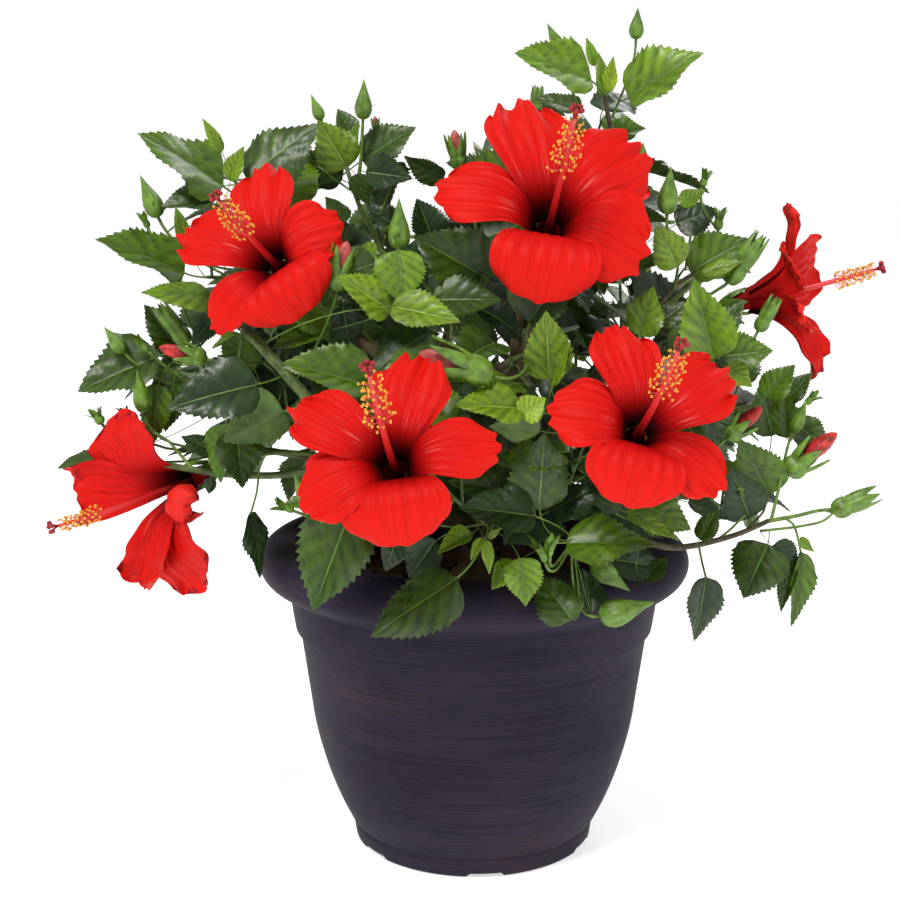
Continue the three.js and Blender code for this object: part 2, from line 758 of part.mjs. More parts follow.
function addBuds(mass) {
  mass.shoots.forEach((shoot, index) => {
    const t = 0.97;
    const turn = mass.random() * 2 * Math.PI;
    const bud = growBud(shoot.point(t), shoot.tangent(t), turn, mass.random);
    const wanted = index === 0 || mass.random() < 0.6;
    if (!wanted || !isFree(mass.owner, budBalls(bud))) return;
    take(mass.owner, budBalls(bud));
    mass.buds.push(bud);
  });
}

// Whether a point is in a mass's own space: not much nearer the heart of another mass than its own.
function isInside(mass, point) {
  const own = point.distanceTo(hearts[mass.name]);
  return Object.values(hearts).every((heart) => own <= ROOM.neighbour * point.distanceTo(heart));
}

function fits(mass, leaf) {
  if (!isInside(mass, leafPoint(leaf, MIDDLE, 0))) return false;
  const balls = leafBalls(leaf);
  const crowded = mass.blades.some((other) =>
    balls.some(([point]) => other.distanceTo(point) < ROOM.blade),
  );
  return !crowded && isFree(mass.owner, balls);
}

function addLeaves(mass) {
  for (const shoot of mass.shoots) {
    const count = Math.max(3, Math.round(shoot.length / LEAF.internode));
    const phase = mass.random() * 2 * Math.PI;
    for (let i = 0; i < count; i++) {
      const share = (i + 0.6) / count;
      for (let attempt = 0; attempt < ROOM.tries; attempt++) {
        const turn = phase + i * GOLDEN + attempt * 1.1;
        const leaf = growLeaf(mass, shoot, share, turn);
        if (!fits(mass, leaf)) continue;
        take(mass.owner, leafBalls(leaf));
        mass.leaves.push(leaf);
        mass.blades.push(...bladePoints(leaf).slice(1));
        break;
      }
    }
  }
}

// The stem of a mass runs on from the cut tip of its bough.
function stemOf(line) {
  const start = BOUGH.split + GAP / line.length;
  return {
    point: (t) => line.point(mix(start, 1, t)),
    tangent: (t) => line.tangent(mix(start, 1, t)),
    length: line.length * (1 - start),
    radius: (t) => line.radius(mix(start, 1, t)),
    steps: 4,
  };
}

const stems = {};
const hearts = {};

for (const name of Object.keys(LIMBS)) {
  stems[name] = stemOf(lines[name]);
  hearts[name] = stems[name].point(0.6);
  take("foliage_" + name, woodBalls(stems[name], 0, 1, ROOM.wood));
}

function growMass(name, limb) {
  const random = seededRandom(limb.seed);
  const owner = "foliage_" + name;
  const mass = { name, owner, droop: 1, ...limb, random, leaves: [], blades: [], buds: [] };
  mass.shoots = growShoots(mass, stems[name], limb.twigs);
  addBuds(mass);
  addLeaves(mass);
  return mass;
}

const masses = Object.entries(LIMBS).map(([name, limb]) => growMass(name, limb));

const blooms = Object.entries(BLOOMS).map(([name, bloom]) => [name, bloomSolid(name, bloom)]);
const placed = [...Object.values(boughs), ...blooms.map(([, shape]) => shape)];

// A leaf or bud that would touch what is already placed, cut through its mass or pinch it is left off.
function foliageSolid(mass) {
  const shoots = mass.shoots.map((shoot) => {
    const stations = Array.from({ length: shoot.steps + 1 }, (_, i) => i / shoot.steps);
    return tube(stations.map(shoot.point), stations.map(shoot.radius), 3);
  });
  let whole = largest(wasm.Manifold.union(shoots));
  for (const piece of [...mass.buds.map(budSolid), ...mass.leaves.map(leafSolid)]) {
    const grown = whole.add(piece);
    const isClear = placed.every((other) => piece.intersect(other).isEmpty());
    const isJoined = piece.intersect(whole).volume() < ROOM.joint;
    if (isClear && isJoined && isSound(grown)) whole = grown;
  }
  placed.push(whole);
  return whole;
}

// The assembly

const shrub = new THREE.Group();

function addNode(name, shape, finish) {
  const geometry = geometryOf(shape);
  geometry.computeVertexNormals();
  const mesh = new THREE.Mesh(geometry, new THREE.MeshStandardMaterial(finish));
  mesh.name = name;
  shrub.add(mesh);
}

addNode("pot", makePot(), FINISH.pot);
addNode("potting_mix", makeSoil(), FINISH.soil);
addNode("trunk", makeTrunk(0), FINISH.bark);

for (const [name, shape] of Object.entries(boughs)) {
  addNode("bough_" + name, shape, FINISH.bark);
}
for (const mass of masses) {
  addNode(mass.owner, foliageSolid(mass), FINISH.foliage);
}
for (const [name, shape] of blooms) {
  addNode(name, shape, FINISH.bloom);
}

export default shrub;
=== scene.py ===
"""A potted hibiscus shrub with large red blooms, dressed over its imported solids.

Lengths are in millimetres in the part's own frame, +Z up and -Y its front, and turn into metres where a
mesh is made. The plant grows by the same seeded rule as its solids, and then on to finer twigs.
"""

import math

import bpy
import numpy as np
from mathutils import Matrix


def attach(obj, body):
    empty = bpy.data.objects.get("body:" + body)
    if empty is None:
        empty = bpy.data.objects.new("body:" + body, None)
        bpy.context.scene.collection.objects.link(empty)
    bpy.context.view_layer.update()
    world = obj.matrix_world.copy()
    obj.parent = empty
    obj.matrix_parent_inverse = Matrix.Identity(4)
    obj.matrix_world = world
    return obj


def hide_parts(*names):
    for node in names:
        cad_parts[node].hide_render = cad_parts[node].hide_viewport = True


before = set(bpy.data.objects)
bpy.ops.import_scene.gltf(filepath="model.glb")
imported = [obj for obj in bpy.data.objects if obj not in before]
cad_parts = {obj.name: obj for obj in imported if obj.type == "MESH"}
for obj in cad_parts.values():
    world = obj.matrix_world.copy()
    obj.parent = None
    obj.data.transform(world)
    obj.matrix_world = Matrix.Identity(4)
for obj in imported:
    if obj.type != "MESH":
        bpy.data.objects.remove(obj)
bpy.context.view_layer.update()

MM = 0.001
TINY = 1e-9
UP = np.array([0.0, 0.0, 1.0])
FRONT = np.array([0.0, -1.0, 0.0])
FULL_TURN = 2 * math.pi
GOLDEN = math.radians(137.508)
GAP = 0.3

# The camera stands at the photograph's height and angle. A focal length in pixels is for a 900 pixel frame.
CAMERA = {"place": (-15, -955, 428), "pitch": 10.5, "focal_px": 1546, "frame_px": 900, "sensor": 36}

POT = {
    "height": 198,
    "rim_radius": 135.5,
    "opening": 107,
    "rim_centre": (117.5, 183),
    "roll": (18, 15),
    "roll_turns": (-62, 88),
    "inner_roll": 9,
    "inner_turns": (98, 170),
    "inner_top": (110.5, 168),
    "floor": 7,
    "wall": 3.4,
    "ring_inside": 72.5,
    "foot_radius": 76.5,
    "slots": 6,
    "slot_width": 19,
    "slot_height": 2.6,
    "slot_turn": 5,
    "segments": 180,
}

# The pot's outline as heights and radii: its foot ring, its bell, and the collar under the rim.
FOOT = [
    (1.2, 0), (1.2, 60), (1.2, 72), (0.2, 73.6), (0, 74.8), (0.8, 76.2), (2.4, 76.5), (8, 77.3), (12.2, 78.0),
    (13.0, 77.5),
]
BELL = [(13, 78.5), (16, 80.3), (30, 87.0), (50, 94.4), (75, 101.1), (100, 104.9), (125, 108.4), (138, 110.2)]
COLLAR = [(138.8, 110.6), (140.2, 112.9), (142, 113.5), (154, 115.4), (166, 117.0)]
SOIL = {
    "top": 168,
    "edge": 163,
    "crown_radius": 30,
    "radius": 108,
    "wall_radii": (107.2, 108.4),
    "wall_depth": 6,
    "open_radius": 104,
    "waves": 9,
    "wave_height": 0.42,
    "crumbs": 420,
    "crumb_size": (1.2, 4.2),
}
TRUNK = {"height": 44, "flare": 15, "waist": 10.5, "fork": 8.5, "lean": (5, -4), "flare_height": 12}
REACH = {"centre": np.array([-1.0, 0.0, 300.0]), "half": np.array([262.0, 242.0, 238.0])}
BOUGH = {
    "root": 4.8,
    "side_root": 3.8,
    "tip": 2.6,
    "end": 1.1,
    "split": 0.5,
    "follow": 0.45,
    "handle": 0.36,
}
TWIG = {"root": 1.2, "end": 0.8, "length": 84, "spread": 50, "lift": 0.3, "first": 0.08, "last": 0.62}
LEAF = {
    "length": 72,
    "width": 0.34,
    "stalk_length": 23,
    "internode": 14,
    "least": 3,
    "fold": 0.3,
    "curl": 0.2,
}
BUD = {"length": 27, "radius": 6, "stalk_length": 30, "place": 0.97, "chance": 0.6}
ROOM = {
    "leaf": 4.8,
    "petal": 4.4,
    "wood": 2.2,
    "twig": 2.6,
    "bloom_stalk": 2.5,
    "column": 3,
    "anthers": 6.4,
    "apart": 0.8,
    "floor": 4,
    "blade": 8,
    "tries": 8,
    "neighbour": 1.35,
}

# How the growth goes on past the solids' twigs: shorter, finer shoots whose leaves are smaller, and on the
# old twigs themselves more such leaves, wider apart and a little larger.
FINE = {
    "shoots": 3,
    "length": 46,
    "spread": 58,
    "root": 0.9,
    "end": 0.55,
    "internode": 9.5,
    "leaf": 50,
    "stalk": 12,
    "room": 1.6,
    "leaf_room": 2.4,
    "old_spacing": 1.4,
    "old_growth": 1.1,
    "blade": 6.5,
    "tries": 7,
    "share": 0.55,
}

# Each limb: what carries it and where along that, where its foliage ends, how much it arches up, its side
# twigs, its seed, and how much its leaves droop.
LIMBS = {
    "front_left": ("trunk", 0.42, (-82, -146, 232), 0.4, 3, 29, 1.4),
    "front_right": ("trunk", 0.48, (70, -156, 226), 0.4, 3, 195, 1.4),
    "front_mid": ("front_right", 0.5, (2, -165, 238), 0.4, 3, 199, 1.4),
    "left_mid": ("trunk", 0.6, (-208, -20, 318), 0.1, 4, 117, 1),
    "left_low": ("left_mid", 0.5, (-168, -4, 262), 0.1, 3, 123, 1.6),
    "right_low": ("trunk", 0.66, (216, -40, 232), 0.3, 3, 87, 2),
    "top": ("trunk", 0.97, (84, 10, 468), 0.5, 3, 69, 1),
    "centre": ("top", 0.3, (-32, -104, 384), 0.25, 4, 105, 1),
    "centre_right": ("centre", 0.5, (36, -128, 336), 0.2, 3, 143, 1),
    "upper_left": ("trunk", 0.92, (-156, 20, 428), 0.25, 3, 195, 1),
    "left_high": ("upper_left", 0.85, (-192, -24, 388), 0.1, 3, 73, 1),
    "upper_mid": ("upper_left", 0.55, (-76, 30, 440), 0.5, 3, 85, 1),
    "right_high": ("trunk", 0.84, (164, 6, 392), 0.2, 4, 167, 1),
    "right_mid": ("right_high", 0.35, (204, -10, 290), 0.2, 4, 75, 1),
    "mid_right": ("right_high", 0.6, (132, -88, 352), 0.2, 4, 135, 1),
    "back_right": ("trunk", 0.56, (124, 158, 332), 0.2, 4, 143, 1),
    "back_left": ("trunk", 0.74, (-116, 154, 352), 0.2, 4, 59, 1),
    "back_top": ("top", 0.55, (40, 92, 430), 0.4, 4, 133, 1),
    "back_mid": ("back_left", 0.6, (14, 160, 400), 0.3, 4, 135, 1),
    "back_low": ("back_right", 0.4, (8, 190, 262), 0.3, 4, 75, 1.4),
    "back_low_left": ("back_left", 0.4, (-172, 94, 262), 0.2, 4, 65, 1),
    "back_low_right": ("back_right", 0.6, (184, 100, 268), 0.2, 4, 57, 1),
}

# Each bloom: its carrier and the place along it, the throat, the way it faces, its size and its roll, how far
# its column bends up, how much its petals cup, and its column's reach.
BLOOM_FIELDS = ("carrier", "at", "throat", "turn", "rise", "radius", "roll", "bend", "cup", "column")
BLOOM_ROWS = {
    "bloom_top": ("top", 0.9, (36, -104, 402), 4, 30, 64, 20, 24, 0, 1.22),
    "bloom_left": ("upper_left", 0.95, (-116, -86, 382), -16, 24, 49, 42, 20, 0, 1.22),
    "bloom_front": ("centre_right", 0.4, (-46, -192, 287), -6, 28, 54, 16, 22, 0, 1.22),
    "bloom_right": ("mid_right", 0.8, (84, -168, 300), 8, 28, 51, 22, 22, 0, 1.22),
    "bloom_far_left": ("left_low", 0.7, (-192, -54, 234), -50, -14, 61, 10, -8, 0.3, 1.5),
    "bloom_far_right": ("right_mid", 0.8, (194, -8, 350), 74, 12, 54, 84, 6, 0, 1.22),
    "bloom_back_high": ("back_top", 0.7, (62, 138, 398), 172, 26, 56, 30, 22, 0, 1.22),
    "bloom_back_low": ("back_low_left", 0.9, (-92, 190, 296), 196, 20, 54, 10, 22, 0, 1.22),
}
BLOOMS = {name: dict(zip(BLOOM_FIELDS, row)) for name, row in BLOOM_ROWS.items()}

# What the photograph shows of a bloom, in its pixels: the throat, the column's tip and how far that stands
# forward in mm, and each petal: its tip, the tip's depth behind the throat in mm or None where the petal lies
# in the bloom's own plane, its width as a share of a petal's, its ruffle (2 for one that has curled up into a
# ball), which corner reaches out, its share of painted highlight, and how far it twists where that isn't the
# common share.
SEEN_BLOOMS = {
    "bloom_left": ((266, 255), (215, 195), 40, 0, [
        ((263, 167), None, 0.78, 1.1, -0.6, 1), ((341, 223), None, 0.80, 1.0, 0.3, 0.4),
        ((303, 316), None, 1.24, 0.25, 0.0, 0), ((214, 331), None, 0.64, 0.5, 0.2, 0.5),
        ((182, 233), None, 0.80, 1.1, 0.3, 1),
    ]),
    "bloom_top": ((554, 208), (577, 108), 50, 0, [
        ((519, 103), None, 0.86, 1.2, 0.7, 1), ((435, 191), None, 0.68, 0.6, -0.3, 1),
        ((537, 302), None, 0.98, 0.25, 0.0, 0), ((646, 257), None, 0.88, 0.8, -0.2, 0.3),
        ((643, 150), None, 0.82, 1.1, 0.3, 1),
    ]),
    "bloom_front": ((390, 457), (367, 365), 42, 0, [
        ((422, 357), None, 0.78, 1.2, -0.7, 1), ((500, 447), None, 0.60, 0.6, 0.2, 0.9),
        ((402, 546), None, 1.08, 0.25, 0.0, 0), ((300, 505), None, 0.78, 0.7, 0.2, 0.2),
        ((296, 405), None, 0.70, 1.1, 0.3, 1),
    ]),
    "bloom_right": ((646, 423), (682, 342), 40, 0, [
        ((613, 327), None, 0.80, 1.0, 0.5, 0.8), ((549, 409), None, 0.84, 0.7, 0.2, 0.4),
        ((624, 506), None, 1.06, 0.25, 0.0, 0), ((721, 493), None, 0.62, 0.7, 0.3, 0.9),
        ((729, 373), None, 0.80, 1.1, -0.4, 1),
    ]),
    "bloom_far_left": ((152, 496), (50, 528), 38, 0.8, [
        ((76, 486), 17, 0.66, 0.4, -3.0, 0.2), ((120, 411), 6, 0.95, 0.35, 0.2, 0),
        ((184, 504), -14, 0.9, 2.0, 0.0, 0), ((146, 587), -4, 0.9, 0.5, 0.2, 1, 0.04),
        ((208, 588), -14, 1.05, 0.45, -0.4, 0, -0.1),
    ]),
    "bloom_far_right": ((789, 293), (883, 267), 12, 0.6, [
        ((788, 203), 4, 0.62, 0.5, 0.0, 0), ((814, 258), 40, 0.9, 0.28, 0.0, 0.3),
        ((819, 374), 6, 0.75, 0.8, -0.3, 0), ((806, 328), -24, 0.7, 0.7, 0.3, 0),
        ((784, 250), -26, 0.75, 0.4, 0.0, 0),
    ]),
}

# The petals of the two blooms behind: angle, reach, width, ruffle, corner, share of painted highlight.
BACK_PETALS = [
    (100, 1.0, 0.82, 1.0, 0.5, 1), (168, 1.05, 0.78, 0.8, -0.3, 1), (-100, 0.9, 1.05, 0.25, 0, 0),
    (-40, 1.06, 0.76, 0.8, -0.2, 0.4), (28, 1.04, 0.8, 1.0, -0.5, 1),
]
PETALS = 5
PETAL_ROWS, PETAL_LANES = 40, 33

# The ruffle under which a petal is a broad one, and the ruffle of one that has curled up.
BROAD_RUFFLE = 0.3
CURLED_UP = 2

# In shares of a bloom's radius: how deep its column starts, how far back its calyx stands, how long and how
# wide that is, and the outlines of the tube behind the throat and of the dark plug in it.
COLUMN_DEPTH = 0.4
CALYX_DEPTH = 0.80
CALYX_SIZE = (0.35, 0.12)
TUBE = [(-0.80, 0.03), (-0.7, 0.07), (-0.56, 0.09), (-0.46, 0.10), (-0.43, 0.105)]
PLUG = [(-0.47, 0.001), (-0.46, 0.05), (-0.445, 0.094), (-0.46, 0.092)]

# The column: its ends as shares of its line, and its radii at places along it. Its anthers: how many, where
# they start in an open bloom and in one that has closed, where they end, how far they reach out and how large
# they are. Its stigmas: how many, how far they reach and how large their pads are.
COLUMN_ENDS = (-0.05, 0.93)
COLUMN_RADII = ([0, 0.5, 0.9, 1], [2.2, 1.55, 1.1, 0.8])
ANTHERS = {
    "count": 76,
    "open": 0.54,
    "closed": 0.72,
    "end": 0.90,
    "reach": (5.2, 8.8),
    "ball": (1.08, 0.76, 0.65),
}
STIGMAS = {"count": 5, "reach": 2.8, "pad": (1.6, 1.6, 1.4)}

# How thick each kind of blade is.
THICK = {"leaf": 0.45, "petal": 0.4, "sepal": 0.4, "bract": 0.35}

# The leaves that show plainly in the photograph, in its pixels: the foot of the blade and its tip, the foot's
# depth along Y and how much further away the tip is in mm, how far the face leans up from the viewer in
# degrees, the half width as a share of the length, and the shade.
SEEN_LEAVES = {
    "top_shoot_left": ((591, 80), (517, 50), -5, -22, 52, 0.38, 3),
    "top_shoot_right": ((628, 98), (700, 49), 0, -18, 42, 0.40, 3),
    "top_shoot_young": ((605, 96), (600, 52), 4, 0, 25, 0.20, 4),
    "top_shoot_young_right": ((608, 92), (613, 56), 0, -4, -30, 0.24, 5),
    "top_shoot_narrow": ((595, 66), (587, 37), 8, 0, 20, 0.22, 3),
    "top_shoot_behind": ((580, 112), (535, 94), 26, 8, 60, 0.36, 1),
    "top_shoot_below": ((612, 134), (646, 127), 24, 4, 50, 0.40, 2),
    "top_left_striped": ((223, 186), (143, 128), 0, -22, 52, 0.42, 2),
    "top_left_sheen": ((246, 178), (317, 120), -10, 8, 38, 0.38, 1),
    "top_left_young": ((230, 180), (243, 146), -14, 0, 20, 0.30, 4),
    "top_left_folded": ((222, 152), (204, 118), -8, -6, 30, 0.20, 4),
    "left_long": ((184, 273), (100, 233), -22, -24, 48, 0.36, 2),
    "left_small": ((215, 200), (160, 204), -10, -6, 50, 0.38, 1),
    "left_bright": ((212, 296), (142, 288), -46, -20, 55, 0.38, 3),
    "left_upright_young": ((186, 242), (176, 206), -34, 0, 20, 0.22, 3),
    "left_behind_bud": ((180, 352), (146, 304), 0, -6, 25, 0.36, 1),
    "left_behind_bud_dark": ((214, 316), (190, 346), -24, 0, 20, 0.34, 0),
    "left_far": ((158, 356), (77, 390), -24, -12, 42, 0.40, 1),
    "left_big_dark": ((258, 384), (167, 404), -112, -18, 25, 0.37, 0),
    "left_hanging_back": ((284, 411), (222, 440), -96, 4, 155, 0.44, 1),
    "left_hanging_big": ((236, 430), (244, 488), -88, -8, 18, 0.44, 1),
    "left_hanging_side": ((226, 424), (219, 483), -80, -8, -52, 0.36, 2),
    "left_hanging_sheen": ((214, 452), (182, 434), -76, 0, 40, 0.42, 0),
    "left_hanging_far": ((176, 370), (164, 432), -22, -6, 10, 0.34, 1),
    "left_hanging_next": ((158, 384), (150, 446), -30, -4, -30, 0.30, 2),
    "left_behind_bloom": ((102, 456), (57, 465), -14, -12, 50, 0.34, 1),
    "left_hanging_curled": ((251, 512), (267, 578), -100, 0, 58, 0.30, 0),
    "left_scrap": ((213, 478), (208, 494), -66, 0, 20, 0.40, 0),
    "upper_lime": ((347, 168), (318, 120), 18, -6, 5, 0.42, 4),
    "upper_olive": ((342, 180), (297, 151), 36, 4, -35, 0.44, 1),
    "upper_dark": ((352, 136), (338, 108), 48, 4, 20, 0.38, 1),
    "upper_narrow": ((348, 152), (358, 121), 20, 0, 30, 0.24, 3),
    "upper_right_long": ((362, 160), (415, 126), 24, -6, 40, 0.40, 1),
    "upper_right_glossy": ((366, 172), (412, 177), 10, -6, 25, 0.40, 0),
    "upper_hanging": ((356, 174), (367, 206), 14, 0, -25, 0.36, 1),
    "upper_lone": ((444, 178), (403, 158), 12, -4, -38, 0.36, 1),
    "upper_inner_dark": ((390, 222), (366, 206), 6, 0, 20, 0.50, 0),
    "upper_inner_right": ((432, 238), (418, 198), 2, 0, 20, 0.46, 0),
    "upper_inner_low": ((346, 222), (326, 196), 14, 0, 30, 0.42, 1),
    "middle_quilted": ((398, 250), (404, 304), -112, -10, 10, 0.48, 3),
    "middle_striped": ((390, 310), (339, 275), -118, -14, 40, 0.38, 4),
    "middle_smooth": ((392, 306), (460, 320), -128, -12, 30, 0.30, 4),
    "middle_sheen": ((482, 276), (416, 236), -68, -8, 15, 0.46, 1),
    "middle_dark": ((432, 300), (502, 298), -84, -6, 35, 0.34, 1),
    "middle_blue": ((342, 306), (352, 350), -70, 0, 20, 0.46, 0),
    "under_left_bloom": ((302, 302), (331, 338), -78, -8, 30, 0.44, 3),
    "under_left_bloom_low": ((330, 330), (270, 344), -84, 0, 50, 0.34, 2),
    "behind_front_column": ((370, 386), (284, 359), -126, -10, 38, 0.36, 2),
    "upright_bright": ((549, 380), (547, 312), -122, -8, 12, 0.36, 4),
    "upright_bright_side": ((553, 386), (566, 346), -124, 0, 60, 0.26, 4),
    "right_of_big_bud": ((522, 408), (455, 403), -152, -14, 40, 0.36, 4),
    "round_young": ((521, 416), (546, 398), -156, 0, 5, 0.50, 5),
    "back_of_leaf": ((540, 431), (488, 424), -150, -6, 140, 0.34, 2),
    "front_glossy": ((539, 510), (545, 434), -142, -6, 18, 0.42, 1),
    "front_blue": ((536, 516), (460, 504), -152, -8, 42, 0.38, 0),
    "front_dark": ((518, 492), (448, 480), -132, -6, 35, 0.34, 1),
    "front_dark_right": ((548, 512), (604, 480), -118, 0, 45, 0.36, 0),
    "front_shining": ((566, 543), (654, 540), -138, -10, 42, 0.38, 2),
    "under_right_bloom": ((636, 500), (693, 527), -112, -6, 30, 0.42, 2),
    "under_right_bloom_pale": ((626, 512), (682, 536), -118, -4, 45, 0.22, 4),
    "rim_curled": ((472, 534), (437, 552), -158, -4, 40, 0.34, 3),
    "rim_star": ((484, 540), (491, 574), -162, -4, 20, 0.20, 4),
    "rim_star_left": ((482, 538), (470, 560), -162, -4, 20, 0.22, 4),
    "rim_star_right": ((488, 538), (500, 528), -162, -4, 20, 0.22, 4),
    "rim_bright": ((520, 558), (527, 606), -156, -8, 20, 0.46, 3),
    "rim_bright_left": ((516, 562), (491, 588), -152, -8, 25, 0.42, 3),
    "rim_striped": ((572, 620), (537, 572), -144, 14, 15, 0.42, 1),
    "rim_striped_right": ((592, 612), (584, 566), -132, 16, 25, 0.34, 0),
    "rim_inner_right": ((604, 558), (668, 566), -108, 14, 35, 0.34, 0),
    "rim_inner_far": ((640, 580), (668, 556), -104, 10, 35, 0.40, 1),
    "rim_big_left": ((352, 506), (312, 611), -142, -16, 12, 0.36, 1),
    "rim_big_front": ((457, 578), (369, 635), -150, -12, 25, 0.33, 1),
    "under_front_bloom": ((436, 540), (408, 578), -120, 0, 20, 0.44, 0),
    "under_front_bloom_left": ((400, 530), (384, 572), -116, 0, 20, 0.40, 0),
    "right_small": ((681, 206), (705, 188), -20, 0, 30, 0.36, 3),
    "right_dark": ((676, 224), (718, 208), 4, 0, 20, 0.46, 0),
    "right_lime": ((678, 267), (657, 226), -62, -6, 15, 0.40, 4),
    "right_quilted": ((690, 272), (748, 236), -34, -6, 28, 0.42, 2),
    "right_lime_low": ((702, 274), (746, 258), -42, -4, 40, 0.22, 4),
    "right_upright": ((713, 358), (696, 282), -96, -8, 8, 0.36, 3),
    "right_beside_bloom": ((640, 336), (653, 286), -96, -4, 20, 0.40, 3),
    "right_under_bloom": ((656, 326), (688, 300), -84, 0, 35, 0.36, 1),
    "right_inner": ((718, 330), (744, 300), -40, 0, 25, 0.38, 1),
    "right_mid_quilted": ((722, 356), (773, 350), -74, -6, 15, 0.44, 2),
    "right_mid_bright": ((725, 366), (753, 386), -88, -4, 25, 0.40, 4),
    "right_far": ((766, 398), (794, 364), -40, -4, 25, 0.40, 2),
    "right_far_dark": ((784, 402), (812, 372), -22, -2, 30, 0.34, 1),
    "right_cluster_left": ((772, 436), (762, 382), -32, 0, 15, 0.36, 1),
    "right_cluster_mid": ((786, 438), (784, 388), -36, 0, -25, 0.34, 2),
    "right_cluster_low": ((794, 424), (832, 448), -36, -4, 20, 0.40, 1),
    "right_triangle": ((770, 495), (741, 440), -52, -4, 15, 0.42, 2),
    "right_round_dark": ((750, 518), (732, 470), -58, -4, 15, 0.46, 0),
    "right_narrow_dark": ((688, 502), (732, 518), -84, 0, 50, 0.30, 0),
    "right_by_stem": ((700, 540), (718, 508), -92, 0, 30, 0.36, 1),
    "right_hanging": ((706, 577), (697, 642), -98, -6, 42, 0.38, 0),
    "right_big": ((768, 544), (743, 598), -68, -8, 10, 0.52, 1),
    "right_big_side": ((772, 546), (799, 570), -66, 0, 25, 0.44, 0),
    "right_wilted": ((801, 552), (796, 628), -62, -4, 45, 0.20, 2),
    "right_wilted_side": ((794, 562), (779, 612), -64, -2, 30, 0.22, 1),
    "right_tiny": ((800, 538), (815, 552), -60, 0, 30, 0.28, 3),
}

# The buds that show in the photograph: foot, tip, depth, width as a share of a bud's, what stands out of it,
# and how far its bracts spread.
SEEN_BUDS = {
    "top": ((636, 39), (638, 7), 0, 1.0, "green", 0.5),
    "top_left": ((561, 50), (547, 23), 4, 0.9, "green", 0.3),
    "top_low": ((643, 162), (643, 142), 10, 0.9, "green", 0.3),
    "upper": ((363, 119), (364, 79), 16, 0.98, "green", 0.6),
    "upper_left": ((321, 120), (311, 94), 20, 0.9, "green", 0.5),
    "upper_pink": ((376, 134), (375, 116), 40, 0.7, "pink", 0.2),
    "upper_right_pink": ((460, 170), (454, 130), -20, 0.95, "pink", 0.3),
    "middle_big": ((399, 249), (399, 198), -96, 0.98, "green", 0.8),
    "middle_pink": ((337, 291), (347, 241), -92, 1.0, "pink", 0.3),
    "left_corner": ((158, 217), (140, 175), -12, 1.0, "green", 0.7),
    "left_small": ((148, 228), (138, 204), -14, 0.8, "bracts", 0.5),
    "left_open": ((188, 344), (157, 304), -36, 0.85, "sepals", 0.3),
    "left_red": ((206, 359), (159, 347), -60, 0.9, "red", 0.2),
    "left_far": ((124, 352), (104, 327), -30, 1.1, "green", 0.6),
    "left_far_low": ((148, 351), (129, 332), -34, 0.9, "bracts", 0.3),
    "left_low": ((144, 412), (137, 369), -44, 0.95, "green", 0.2),
    "left_bracts": ((102, 424), (87, 400), -30, 1.1, "bracts", 0.6),
    "left_bracts_small": ((128, 420), (120, 400), -26, 0.8, "bracts", 0.5),
    "left_rim": ((294, 511), (262, 498), -106, 0.7, "bracts", 0.5),
    "front_big": ((492, 376), (419, 353), -150, 1.0, "pink", 0.6),
    "front_small": ((545, 562), (536, 530), -152, 0.7, "bracts", 0.8),
    "front_small_right": ((550, 556), (554, 530), -152, 0.6, "bracts", 0.6),
    "rim_young": ((600, 616), (655, 602), -134, 1.15, "green", 0.2),
    "rim_young_up": ((593, 563), (630, 591), -112, 1.1, "green", 0.2),
    "right_long": ((667, 214), (671, 166), -62, 1.0, "green", 0.4),
    "right_dark": ((702, 187), (711, 162), -8, 0.9, "bracts", 0.4),
    "right_open": ((718, 230), (721, 196), -4, 0.9, "bracts", 0.5),
    "right_big": ((727, 283), (763, 234), -38, 0.85, "sepals", 0.35),
    "right_low": ((758, 331), (777, 296), -40, 0.85, "sepals", 0.4),
    "right_red": ((727, 438), (762, 407), -72, 1.0, "red", 0.6),
    "right_upright": ((795, 432), (807, 398), -44, 0.8, "green", 0.3),
    "right_bracts": ((806, 404), (822, 386), -24, 0.9, "bracts", 0.6),
    "right_red_tip": ((786, 473), (837, 433), -52, 0.95, "red", 0.3),
    "right_end": ((832, 511), (879, 492), -56, 1.0, "sepals", 0.8),
}

